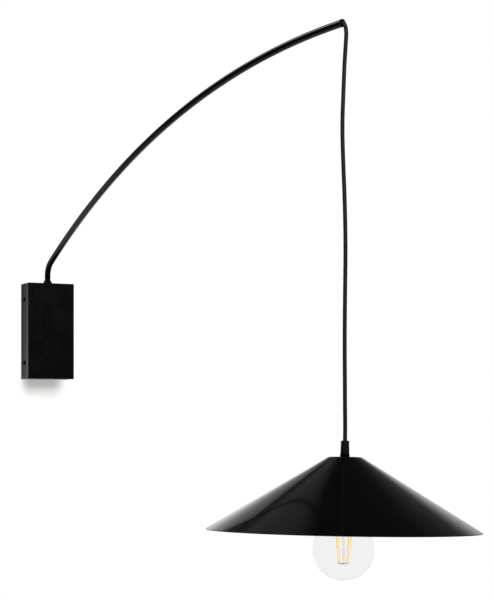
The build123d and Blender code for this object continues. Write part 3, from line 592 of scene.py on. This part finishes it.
# ---------------------------------------------------------------- wall box
def make_housing():
    """Five sheet steel sides with rounded edges, open to the wall."""
    low, high = box_low / MM, box_high / MM
    put_down()
    bpy.ops.mesh.primitive_cube_add(size=1, location=(low + high) / 2, enter_editmode=True)
    bpy.ops.transform.resize(value=high - low)
    choose("faces", lambda face: face.normal.y > 0.5)           # the side that lies on the wall
    bpy.ops.mesh.delete(type="FACE")
    front = (low.y - high.y) / 2                                # the front face, from the middle
    choose("edges", lambda edge: abs(edge.verts[0].co.y - edge.verts[1].co.y) > 1
           or all(abs(end.co.y - front) < 0.1 for end in edge.verts))
    bpy.ops.mesh.bevel(offset=box_edge, segments=6, profile=0.5)
    bpy.ops.mesh.select_all(action="SELECT")
    bpy.ops.mesh.normals_make_consistent(inside=False)
    bpy.ops.object.mode_set(mode="OBJECT")
    piece = bpy.context.object
    piece.name = "housing_shell"
    bpy.ops.object.transform_apply(location=True, rotation=True, scale=True)
    thicken(piece, box_wall, even=True)
    drill(piece, bush_outer + clearance, swivel / MM + UP * drill_reach, -UP, 2 * drill_reach)
    for side in (-1, 1):
        for end in (-1, 1):
            start = (side * (high.x + drill_reach), -cover_from_wall, end * cover_spacing / 2)
            drill(piece, cover_hole, start, (-side, 0, 0), 2 * drill_reach, sides=32)
    finish(piece, Matrix.Scale(MM, 4), "box_enamel", "wall_box", ["housing"], smooth=35)


def make_cover_screws():
    """Four domed screws with a hexagon socket, in the box's sides."""
    dome = screw_head_height - screw_head_rim
    dome_radius = ((screw_head / 2) ** 2 + dome ** 2) / (2 * dome)
    sweep = asin(screw_head / 2 / dome_radius) * 180 / pi
    outline = [
        *arc(0, screw_head_height - dome_radius, dome_radius, 90, 90 - sweep, steps=12),
        *rounded([
            (screw_head / 2, (screw_head_rim + fine_round) / 2, 0),
            (screw_head / 2, 0, fine_round),
            (screw_thread / 2, 0, 0),
        ]),
        (screw_thread / 2, -screw_length + screw_tip),
        (screw_thread / 2 - screw_tip, -screw_length),
        (0, -screw_length),
    ]
    first = lathe("cover_screw", outline, steps=48)
    top = UP * (screw_head_height + screw_socket_start)
    drill(first, screw_socket / cos(pi / 6), top, -UP, screw_socket_depth + screw_socket_start, sides=6)
    for side, end, number in ((-1, -1, 1), (-1, 1, 2), (1, -1, 3), (1, 1, 4)):
        seat = Vector((side * box_high.x, -cover_from_wall * MM, end * cover_spacing / 2 * MM))
        screw = copied(first, f"cover_screw_{number}")
        place = stood(seat, Vector((side, 0, 0)), UP)
        finish(screw, place, "black_screws", "wall_box", ["cover_screws"], smooth=30)
    bpy.data.objects.remove(first)


def make_bush():
    """The flanged bush that the arm turns in; its flange shows between the box and the collar."""
    piece = turned("swivel_bush_ring", [
        (bush_bore / 2, -bush_depth, 0),
        (bush_outer / 2, -bush_depth, 0),
        (bush_outer / 2, 0, 0),
        (bush_flange / 2, 0, 0),
        (bush_flange / 2, bush_flange_height, edge_round),
        (bush_bore / 2, bush_flange_height, edge_round),
    ], bends=3)
    finish(piece, stood(swivel, UP, RIGHT), "nylon", "wall_box", ["swivel_bush"])


# ---------------------------------------------------------------- arm
def make_collar():
    """The small flared cone that covers the arm's foot."""
    piece = turned("arm_collar_cone", [
        (collar_room / 2, foot_low, 0),
        (collar_foot / 2, foot_low, collar_foot_round),
        (collar_foot / 2, foot_low + collar_lip, soft_round),
        (collar_bore / 2 + collar_top_wall, foot_low + collar_height, edge_round),
        (collar_bore / 2, foot_low + collar_height, 0),
        (collar_bore / 2, foot_high, 0),
        (collar_room / 2, foot_high, 0),
    ], bends=4)
    finish(piece, stood(swivel, UP, RIGHT), "arm_enamel", "arm", ["arm_collar"])


def make_arm():
    """The tube: a ring drawn up from the foot, spun round the foot's bend and then along the long arc."""
    put_down()
    foot = swivel / MM + Vector((0, 0, foot_high))
    turn_axis = arm_way.cross(UP)
    bpy.ops.mesh.primitive_circle_add(
        vertices=tube_sides, radius=tube_diameter / 2, location=foot, enter_editmode=True)
    bpy.ops.mesh.extrude_edges_move(TRANSFORM_OT_translate={"value": (0, 0, stub_height - foot_high)})
    top = swivel / MM + Vector((0, 0, stub_height))
    centre = top + arm_way * foot_bend_radius
    bpy.ops.mesh.spin(steps=foot_bend_steps, angle=radians(90 - arc_rise), center=centre, axis=turn_axis)
    rise = radians(arc_rise)
    bend_end = centre + foot_bend_radius * (Vector((0, 0, cos(rise))) - arm_way * sin(rise))
    centre = bend_end + arc_radius * (arm_way * sin(rise) - Vector((0, 0, cos(rise))))
    bpy.ops.mesh.spin(steps=arc_steps, angle=rise, center=centre, axis=turn_axis)
    bpy.ops.object.mode_set(mode="OBJECT")
    piece = bpy.context.object
    piece.name = "arm_tube_swept"
    close_up(piece)
    thicken(piece, tube_wall)
    bpy.ops.object.transform_apply(location=True, rotation=True, scale=True)
    finish(piece, Matrix.Scale(MM, 4), "arm_enamel", "arm", ["arm_tube"], smooth=50)


def make_bushing():
    """The moulded bushing in the arm's mouth, with a round lip and a flared bore."""
    plug = tube_diameter / 2 - tube_wall - clearance
    piece = turned("tip_bushing_moulded", [
        (bushing_bore / 2, -lip_height - bushing_plug, 0),
        (plug, -lip_height - bushing_plug, lip_back_round),
        (plug, -lip_height, 0),
        (tube_diameter / 2 + lip_proud, -lip_height, lip_back_round),
        (tube_diameter / 2 + lip_proud, 0, lip_round),
        (bushing_bore / 2, 0, mouth_round),
    ], bends=8)
    finish(piece, stood(mouth, arm_way, UP), "black_plastic", "arm", ["tip_bushing"])


# ---------------------------------------------------------------- cord
def in_frame(point):
    """A point of the cord's route in the frame."""
    along, across, up = point
    return mouth + arm_way * along + arm_across * across + Vector((0, 0, up))


def make_cord():
    """The cord from inside the mouth down to the grip, one smooth line under the lamp's weight."""
    route = [in_frame(point) for point in cord_route]
    guide = smooth_line("cord_line", route, resolution=12)
    path = [vertex.co.copy() for vertex in bpy.data.meshes.new_from_object(guide).vertices]
    tube = tube_along(guide, "cord", cord_diameter * MM, facets=8)
    finish(tube, Matrix.Identity(4), "cord_sheath", nodes=["cord_bend", "hanging_cord"])
    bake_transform(tube)
    return tube, path


# ---------------------------------------------------------------- pendant head
grip_low = ring_height
grip_high = ring_height + grip_height
head_top = in_frame(cord_route[-1]) - head_up * grip_high * MM
head = stood(head_top, head_up, head_right)


def make_grip():
    """The moulded cord grip with its clamping screw at the back, and the thin flared ring under it."""
    grip = turned("cord_grip_moulded", [
        (nipple_fit / 2, grip_low, 0),
        (grip_foot_diameter / 2, grip_low, edge_round),
        (grip_top_diameter / 2, grip_high, grip_round),
        (cord_fit / 2, grip_high, edge_round),
        (cord_fit / 2, grip_low + grip_thread_depth, 0),
        (nipple_fit / 2, grip_low + grip_thread_depth, 0),
    ])
    screw_height = grip_low + grip_screw_height
    drill(grip, grip_screw_diameter + clearance, UP * screw_height, (0, 1, 0), grip_foot_diameter, sides=32)
    finish(grip, head, "black_plastic", "pendant", ["cord_grip"])

    reach = grip_top_diameter / 2 + grip_screw_proud - cord_fit / 2
    screw = turned("grip_screw_slotted", [
        (0, 0, 0),
        (grip_screw_diameter / 2, 0, fine_round),
        (grip_screw_diameter / 2, reach, edge_round),
        (0, reach, 0),
    ], bends=3, steps=32)
    put_down()
    slot = (2 * grip_screw_diameter, slot_width, 2 * slot_depth)
    bpy.ops.mesh.primitive_cube_add(size=1, location=(0, 0, reach), scale=slot)
    cut(screw, bpy.context.object)
    head_back = head_up.cross(head_right)
    seat = head_top + (head_up * screw_height + head_back * cord_fit / 2) * MM
    finish(screw, stood(seat, head_back, head_up), "black_screws", "pendant", ["grip_screw"], smooth=30)

    ring = turned("grip_ring_turned", [
        (nipple_fit / 2, 0, 0),
        (ring_foot_diameter / 2, 0, fine_round),
        (ring_foot_diameter / 2, ring_lip, edge_round),
        (ring_top_diameter / 2, ring_height, ring_top_round),
        (nipple_fit / 2, ring_height, 0),
    ], bends=4)
    finish(ring, head, "black_ring", "pendant", ["grip_ring"])
    return grip, screw, ring


def make_shade():
    """The spun cone with its small flat top, rounded shoulder and rounded rim, one wall thick all over."""
    slope = atan2(shade_height, (shade_diameter - shade_top_diameter) / 2)
    inner_top = shade_top_diameter / 2 - shade_thickness * tan(slope / 2)
    rim_in = shade_thickness * sin(slope)
    rim_down = shade_thickness * cos(slope)
    piece = turned("shade_cone", [
        (nipple_fit / 2, -shade_thickness, 0),
        (nipple_fit / 2, 0, 0),
        (shade_top_diameter / 2, 0, shade_shoulder),
        (shade_diameter / 2, -shade_height, rim_round),
        (shade_diameter / 2 - rim_in, -shade_height - rim_down, rim_round),
        (inner_top, -shade_thickness, shade_shoulder - shade_thickness),
    ], bends=10, steps=256)
    finish(piece, head, "shade_enamel", "pendant", ["shade"], smooth=50)


def make_holder():
    """The lampholder: a domed cap with a neck, and a plain skirt screwed into it."""
    inner = holder_diameter / 2 - holder_wall
    floor = neck_low - holder_neck_floor
    cap = turned("holder_cap_moulded", [
        (nipple_fit / 2, neck_high, 0),
        (holder_neck_diameter / 2, neck_high, full_round),
        (holder_neck_diameter / 2, neck_low, 0),
        (holder_diameter / 2, neck_low - holder_shoulder_drop, holder_shoulder),
        (holder_diameter / 2, cap_low, edge_round),
        (inner - holder_ledge, cap_low, 0),
        (inner - holder_ledge, cap_low + holder_ledge_height, 0),
        (inner, cap_low + holder_ledge_height, 0),
        (inner, floor - holder_shoulder_drop, holder_shoulder - holder_wall),
        (nipple_fit / 2, floor, 0),
    ])
    finish(cap, head, "black_plastic", "pendant", ["holder_cap"])
    body = turned("holder_skirt_moulded", [
        (inner, cap_low, 0),
        (holder_diameter / 2, cap_low, edge_round),
        (holder_diameter / 2, body_low, holder_wall / 2),
        (inner - holder_ledge, body_low, edge_round),
        (inner - holder_ledge, body_low + holder_ledge_height, 0),
        (inner, body_low + holder_ledge_height, 0),
    ])
    finish(body, head, "black_plastic", "pendant", ["holder_body"])


# ---------------------------------------------------------------- bulb
bulb = stood(head_top + head_up * globe_centre * MM, head_up, head_right)


def roll_thread(piece, top):
    """Presses a real helical thread into the plain cap, running out at both ends."""
    crest = thread_diameter / 2
    low = top - (thread_turns + 0.5) * thread_pitch
    for vertex in piece.data.vertices:
        x, y, z = vertex.co
        radius = sqrt(x * x + y * y)
        if not low < z < top or radius < crest - 2 * sheet_metal:
            continue
        run_out = min(1, (top - z) / thread_pitch * thread_ease, (z - low) / thread_pitch * thread_ease)
        wave = 0.5 - 0.5 * cos(2 * pi * (z / thread_pitch - atan2(y, x) / (2 * pi)))
        inset = thread_depth * wave * run_out
        vertex.co.x -= inset * x / radius
        vertex.co.y -= inset * y / radius


def make_cap():
    """The bulb's screw cap, its black glass insulator and the brass contact."""
    insulator_high = bulb_high - bulb_contact_height
    insulator_low = insulator_high - insulator_height
    cap_high = insulator_low + insulator_rim
    cap_bottom = cap_high - cap_height
    crest = thread_diameter / 2
    edge = insulator_diameter / 2 + seal_gap
    rings_high = cap_high - cap_shoulder
    rings = thread_rings * thread_turns
    heights = [rings_high + (cap_bottom - rings_high) * ring / rings for ring in range(rings + 1)]
    outside = [(edge + sheet_metal, cap_high), *((crest, height) for height in heights)]
    inside = [(x - sheet_metal, y) for x, y in reversed(outside)]
    cap = lathe("bulb_cap_threaded", [*outside, *inside, outside[0]])
    roll_thread(cap, rings_high)
    finish(cap, head, "nickel_cap", "bulb", ["bulb_cap"], smooth=60)

    insulator = turned("bulb_insulator_glass", [
        (0, insulator_low, 0),
        (insulator_diameter / 2, insulator_low, edge_round),
        (insulator_diameter / 2, insulator_low + insulator_rim, soft_round),
        (insulator_tip_diameter / 2, insulator_high, soft_round),
        (0, insulator_high, 0),
    ])
    finish(insulator, head, "black_glass", "bulb", ["bulb_insulator"])
    contact = turned("bulb_contact_pip", [
        (0, insulator_high, 0),
        (bulb_contact_diameter / 2, insulator_high, 0),
        (bulb_contact_diameter / 2, bulb_high, full_round),
        (0, bulb_high, 0),
    ])
    finish(contact, head, "brass", "bulb", ["bulb_contact"])


def make_globe():
    """The blown globe: a straight neck that sweeps into the ball, with a thin wall."""
    ball = globe_diameter / 2
    neck = neck_diameter / 2
    reach = ball + neck_sweep_radius
    across = neck + neck_sweep_radius
    neck_bottom = sqrt(reach ** 2 - across ** 2)
    meets = atan2(neck_bottom, across) * 180 / pi
    outer = [
        (neck, neck_top),
        *arc(across, neck_bottom, neck_sweep_radius, 180, 180 + meets, neck_sweep_steps),
        *arc(0, 0, ball, meets, -90, ball_steps)[1:],
    ]
    inner = [
        *arc(0, 0, ball - globe_wall, -90, meets, ball_steps),
        *arc(across, neck_bottom, neck_sweep_radius + globe_wall, 180 + meets, 180, neck_sweep_steps)[1:],
        (neck - globe_wall, neck_top),
    ]
    piece = lathe("bulb_globe_glass", [*outer, *inner, outer[0]], steps=128)
    finish(piece, bulb, "bulb_glass", "bulb", ["bulb_globe"], smooth=60)


def make_stem():
    """The glass stem: a flare sealed in the neck, the pinched press and the long rod."""
    flare = neck_diameter / 2 - globe_wall - seal_gap
    piece = turned("bulb_stem_glass", [
        (0, stem_press_top, 0),
        (flare - stem_rim, stem_high, 0),
        (flare, stem_high, 0),
        (flare, stem_high - stem_rim, 0),
        (stem_press_radius, stem_press_top, stem_flare_round),
        (stem_press_radius, stem_press_low, stem_round),
        (stem_rod_radius, stem_press_low - stem_taper, stem_round),
        (stem_rod_radius, stem_low, full_round),
        (0, stem_low, 0),
    ], steps=48)
    finish(piece, bulb, "stem_glass", "bulb", ["bulb_stem"], smooth=50)


def on_filament(height):
    """A point on the first filament's line, at this height over the globe's middle."""
    share = (height - filament_low) / (filament_high - filament_low)
    return Vector((filament_low_radius + share * (filament_high_radius - filament_low_radius), 0, height))


def drawn_wire(name, points):
    """A bent wire with rounded corners along the points, in millimetres."""
    return tube_along(smooth_line(f"{name}_line", points, resolution=6), name, wire_diameter, facets=4)


def make_filaments():
    """Four filament rods about the stem, each with its link to the hub and its lead up into the press."""
    foot = on_filament(filament_low)
    rod = on_filament(filament_high) - foot
    filament = turned("filament", [
        (0, 0, 0),
        (filament_diameter / 2, 0, soft_round),
        (filament_diameter / 2, rod.length, soft_round),
        (0, rod.length, 0),
    ], steps=24)
    filament.matrix_world = stood(foot, rod.normalized(), RIGHT) @ Matrix.Scale(1 / MM, 4)
    take(filament)
    bpy.ops.object.transform_apply(location=True, rotation=True, scale=True)
    corner = on_filament(wire_link_height)
    link = drawn_wire("filament_link", [
        (0, 0, wire_link_height),
        (corner.x - wire_link_flat, 0, wire_link_height),
        (corner.x - wire_corner, 0, wire_link_height),
        on_filament(wire_link_height + wire_bend),
        on_filament(filament_low + wire_overlap),
    ])
    high = on_filament(filament_high + wire_lead_rise)
    pressed = Vector((wire_pressed_radius, 0, wire_pressed_height))
    inwards = (pressed - high).normalized()
    lead = drawn_wire("filament_lead", [
        on_filament(filament_high - wire_overlap),
        on_filament(filament_high + wire_lead_rise - wire_bend),
        high + inwards * wire_bend,
        (high + pressed) / 2,
        pressed,
    ])
    for number in range(filament_count):
        turn = bulb @ Matrix.Rotation(radians(filament_turn + number * 360 / filament_count), 4, "Z")
        rod_piece = copied(filament, f"filament_rod_{number + 1}")
        finish(rod_piece, turn, "filament_phosphor", "bulb", ["bulb_filaments"])
        for wire, name in ((link, "link"), (lead, "lead")):
            wire_piece = copied(wire, f"filament_{name}_{number + 1}")
            finish(wire_piece, turn, "nickel_wire", "bulb", ["support_wires"])
    for first in (filament, link, lead):
        bpy.data.objects.remove(first)
    hub = turned("filament_hub", [
        (0, stem_low - wire_hub_height, 0),
        (wire_hub_diameter / 2, stem_low - wire_hub_height, soft_round),
        (wire_hub_diameter / 2, stem_low, edge_round),
        (0, stem_low, 0),
    ], steps=32)
    finish(hub, bulb, "nickel_wire", "bulb", ["support_wires"])


# ---------------------------------------------------------------- all the pieces
make_housing()
make_cover_screws()
make_bush()
make_collar()
make_arm()
make_bushing()
cord, cord_path = make_cord()
grip, grip_screw, grip_ring = make_grip()
make_shade()
make_holder()
make_cap()
make_globe()
make_stem()
make_filaments()

# Every solid that stays gets the finish of its slot.
for subpart in frame["record"]["subparts"]:
    node = frame["nodes"][subpart["node"]]
    node.data.materials.clear()
    node.data.materials.append(finishes[subpart["material_slot"]])


# ---------------------------------------------------------------- studio, in metres
camera_place = Vector((-1.0408, -3.2481, -0.1751))
camera_turn = 25.0          # to the right of straight at the wall
camera_lens = 96.0
camera_sensor = 36.0
horizon_drop = 115 / 600    # the horizon lies this share of the picture's height below its middle
view_way = Vector((sin(radians(camera_turn)), cos(radians(camera_turn)), 0))

key_place = Vector((0.25, -2.5, 1.65))
key_target = Vector((0.0, -0.05, -0.05))
key_size = 2.4
key_power = 120.0
ambient_level = 0.3

floor_size = 9.0
floor_place = (0, -1, -1.5)
floor_glow = 0.42
floor_in_gloss = 0.02
wall_size = 0.84
wall_gap = 0.0006           # metres that the wall lies behind the box
wall_glow = 0.2
shadow_middle = -0.005      # the box's shadow on the wall: its middle, its softness above and at its sides
shadow_top = 0.012
shadow_aside = (0.024, 0.061, 1.0, 0.0)

soft_box_level = 2.6
glow_level = 0.14
overhead_level = 0.5
# Where the mirrored lights fade, by how far a ray points left, up or behind the lamp, and on the wall by
# metres from its middle: the fade's start and end, then the levels before and after it where not 0 and 1.
strip_aside = (0.2, 0.7, 1.0, 0.05)
strip_right = (-0.28, -0.04, 0.5, 1.0)
strip_left = (0.10, 0.22, 1.0, 0.3)
strip_behind = (-0.1, 0.3, 0.05, 1.0)
soft_box_left = (0.42, 0.65)
soft_box_up = (0.3, 0.6)
soft_box_behind = (0.15, 0.5)
glow_left = (0.09, 0.21)
glow_up = (0.59, 0.69)
overhead_up = (0.94, 0.99)
wall_aside = (0.05, 0.075, 0.25, 1.0)
# How bright the mirrored strip behind the lamp is, by height: a share of straight up, and its level.
sky_levels = [(0.0, 0.02), (0.03, 1.2), (0.20, 1.5), (0.28, 1.5), (0.34, 1.15), (0.41, 0.75), (0.47, 0.34),
              (0.53, 0.33), (0.60, 0.24), (0.67, 0.17), (0.74, 0.07), (0.86, 0.01), (1.0, 0.0)]
# The same for the piece of wall that the gloss mirrors, by height over its foot: a share of its size.
wall_levels = [(0.0, 0.1), (0.08, 0.1), (0.16, 1.1), (0.36, 1.0), (0.50, 0.76), (0.585, 0.64), (0.64, 0.57),
               (0.67, 0.47), (0.745, 0.47), (0.845, 0.36), (0.93, 0.36), (0.955, 0.28), (0.98, 0.12),
               (1.0, 0.06)]


def seen(tree, straight, mirrored, lit):
    """The level that a ray sees: straight on or through glass, in a mirror, or as light on a surface."""
    path = add(tree, "ShaderNodeLightPath")
    level = add(tree, "ShaderNodeMix", {"data_type": "FLOAT"},
                {"Factor": path.outputs["Is Glossy Ray"], "A": lit, "B": mirrored}).outputs["Result"]
    looking = combined(tree, "MAXIMUM", path.outputs["Is Camera Ray"], path.outputs["Is Transmission Ray"])
    return add(tree, "ShaderNodeMix", {"data_type": "FLOAT"},
               {"Factor": looking, "A": level, "B": straight}).outputs["Result"]


def along(tree, way, direction):
    """How far a ray's way points along a direction, from -1 to 1."""
    inputs = {0: way, 1: direction}
    return add(tree, "ShaderNodeVectorMath", {"operation": "DOT_PRODUCT"}, inputs).outputs["Value"]


def fading(tree, value, start, end, low=0.0, high=1.0):
    """A soft step from low to high as the value goes from start to end."""
    inputs = {"Value": value, "From Min": start, "From Max": end, "To Min": low, "To Max": high}
    return add(tree, "ShaderNodeMapRange", {"interpolation_type": "SMOOTHSTEP"}, inputs).outputs["Result"]


def combined(tree, operation, *values):
    """Several values multiplied, added or subtracted, or the greatest of them, one after the other."""
    result = values[0]
    for value in values[1:]:
        result = add(tree, "ShaderNodeMath", {"operation": operation}, {0: result, 1: value}).outputs[0]
    return result


def unsigned(tree, value):
    """A value without its sign."""
    return add(tree, "ShaderNodeMath", {"operation": "ABSOLUTE"}, {0: value}).outputs[0]


def stepped(tree, value, levels):
    """A level that goes through the listed places."""
    ramp = add(tree, "ShaderNodeValToRGB", inputs={"Fac": value})
    stops = ramp.color_ramp.elements
    for stop, (place, level) in zip((stops[0], stops[1]), (levels[0], levels[-1])):
        stop.position, stop.color = place, (level, level, level, 1)
    for place, level in levels[1:-1]:
        stops.new(place).color = (level, level, level, 1)
    return ramp.outputs["Color"]


def make_room():
    """White behind the lamp, and the lights that only its gloss mirrors.

    They are a bright strip low behind it, a soft box up on the left, a faint glow beside that, and some light
    from overhead.
    """
    world = bpy.data.worlds.new("studio")
    bpy.context.scene.world = world
    world.use_nodes = True
    tree = world.node_tree
    way = add(tree, "ShaderNodeTexCoord").outputs["Generated"]
    behind = along(tree, way, view_way)
    left = along(tree, way, (-view_way.y, view_way.x, 0))
    up = along(tree, way, (0, 0, 1))
    strip = combined(tree, "MULTIPLY", stepped(tree, up, sky_levels),
                     fading(tree, unsigned(tree, left), *strip_aside), fading(tree, left, *strip_right),
                     fading(tree, left, *strip_left), fading(tree, behind, *strip_behind))
    soft_box = combined(tree, "MULTIPLY", fading(tree, left, *soft_box_left), fading(tree, up, *soft_box_up),
                        fading(tree, behind, *soft_box_behind), soft_box_level)
    glow = combined(tree, "MULTIPLY", fading(tree, left, *glow_left), fading(tree, up, *glow_up), glow_level)
    overhead = combined(tree, "MULTIPLY", fading(tree, up, *overhead_up), overhead_level)
    mirrored = combined(tree, "ADD", strip, soft_box, glow, overhead)
    background = tree.nodes["Background"]
    tree.links.new(seen(tree, 1.0, mirrored, ambient_level), background.inputs["Strength"])
    background.inputs["Color"].default_value = (1, 1, 1, 1)


def pale_paint(name, glow):
    """Pale matt paint with a little glow of its own, so that it reads as white where the light reaches it."""
    made, tree, shader = principled(name, "#ECECEA", 0.9, **{"Specular IOR Level": 0.0})
    shader.inputs["Emission Color"].default_value = (1, 1, 1, 1)
    tree.links.new(seen(tree, glow, glow, 0.0), shader.inputs["Emission Strength"])
    return made, tree, shader


def mixed(tree, share, first, second):
    """Two shaders mixed and set on the material's output."""
    made = add(tree, "ShaderNodeMixShader", inputs={0: share, 1: first, 2: second})
    tree.links.new(made.outputs[0], tree.nodes["Material Output"].inputs["Surface"])
    return made.outputs[0]


def clear_from_behind(tree, painted):
    """Lets the lamp be seen from below the floor and from behind the wall."""
    behind = add(tree, "ShaderNodeNewGeometry").outputs["Backfacing"]
    mixed(tree, behind, painted, add(tree, "ShaderNodeBsdfTransparent").outputs[0])


def floor_paint():
    """The floor, which is kept dark in the lamp's gloss."""
    made, tree, shader = pale_paint("pale_floor", floor_glow)
    dark = add(tree, "ShaderNodeEmission", inputs={"Strength": floor_in_gloss})
    path = add(tree, "ShaderNodeLightPath")
    in_gloss = combined(tree, "SUBTRACT", path.outputs["Is Glossy Ray"], path.outputs["Is Transmission Ray"])
    clear_from_behind(tree, mixed(tree, in_gloss, shader.outputs[0], dark.outputs[0]))
    return made


def wall_paint():
    """The wall: plain white, with the box's soft shadow kept below it, and clear when seen from behind."""
    made, tree, shader = pale_paint("pale_wall", wall_glow)
    where = add(tree, "ShaderNodeTexCoord").outputs["Object"]
    place = add(tree, "ShaderNodeSeparateXYZ", inputs={"Vector": where})
    aside = unsigned(tree, combined(tree, "SUBTRACT", place.outputs["X"], shadow_middle))
    below = fading(tree, place.outputs["Z"], box_low.z + shadow_top, box_low.z)
    beneath = combined(tree, "MULTIPLY", below, fading(tree, aside, *shadow_aside))
    white = add(tree, "ShaderNodeEmission")
    height = combined(tree, "ADD", combined(tree, "MULTIPLY", place.outputs["Z"], 1 / wall_size), 0.5)
    levels = stepped(tree, height, wall_levels)
    mirrored = combined(tree, "MULTIPLY", levels, fading(tree, aside, *wall_aside))
    tree.links.new(seen(tree, 1.0, mirrored, ambient_level), white.inputs["Strength"])
    clear_from_behind(tree, mixed(tree, beneath, white.outputs[0], shader.outputs[0]))
    return made


def make_stage():
    """A floor far below the lamp, and a piece of wall behind the box."""
    put_down()
    bpy.ops.mesh.primitive_plane_add(size=floor_size, location=floor_place)
    floor = bpy.context.object
    floor.name = "floor"
    floor.data.materials.append(floor_paint())
    put_down()
    bpy.ops.mesh.primitive_plane_add(size=wall_size, location=(0, wall_gap, 0), rotation=(radians(90), 0, 0))
    wall = bpy.context.object
    wall.name = "wall"
    bpy.ops.object.transform_apply(location=True, rotation=True, scale=True)
    wall.data.materials.append(wall_paint())


def make_key_light():
    """A large soft light from above, turned to the lamp and unseen in its gloss."""
    put_down()
    turn = (key_place - key_target).to_track_quat("Z", "Y").to_euler()
    bpy.ops.object.light_add(type="AREA", location=key_place, rotation=turn)
    light = bpy.context.object
    light.name = "key_light"
    light.data.size = key_size
    light.data.energy = key_power
    light.visible_glossy = False


def make_camera():
    """The photograph's own view, level and with the picture shifted up."""
    put_down()
    bpy.ops.object.camera_add(location=camera_place, rotation=(radians(90), 0, -radians(camera_turn)))
    camera = bpy.context.object
    camera.name = "camera"
    camera.data.lens = camera_lens
    camera.data.sensor_width = camera_sensor
    camera.data.shift_y = horizon_drop
    bpy.context.scene.camera = camera


make_room()
make_stage()
make_camera()
make_key_light()
bpy.context.scene.view_settings.view_transform = "Standard"
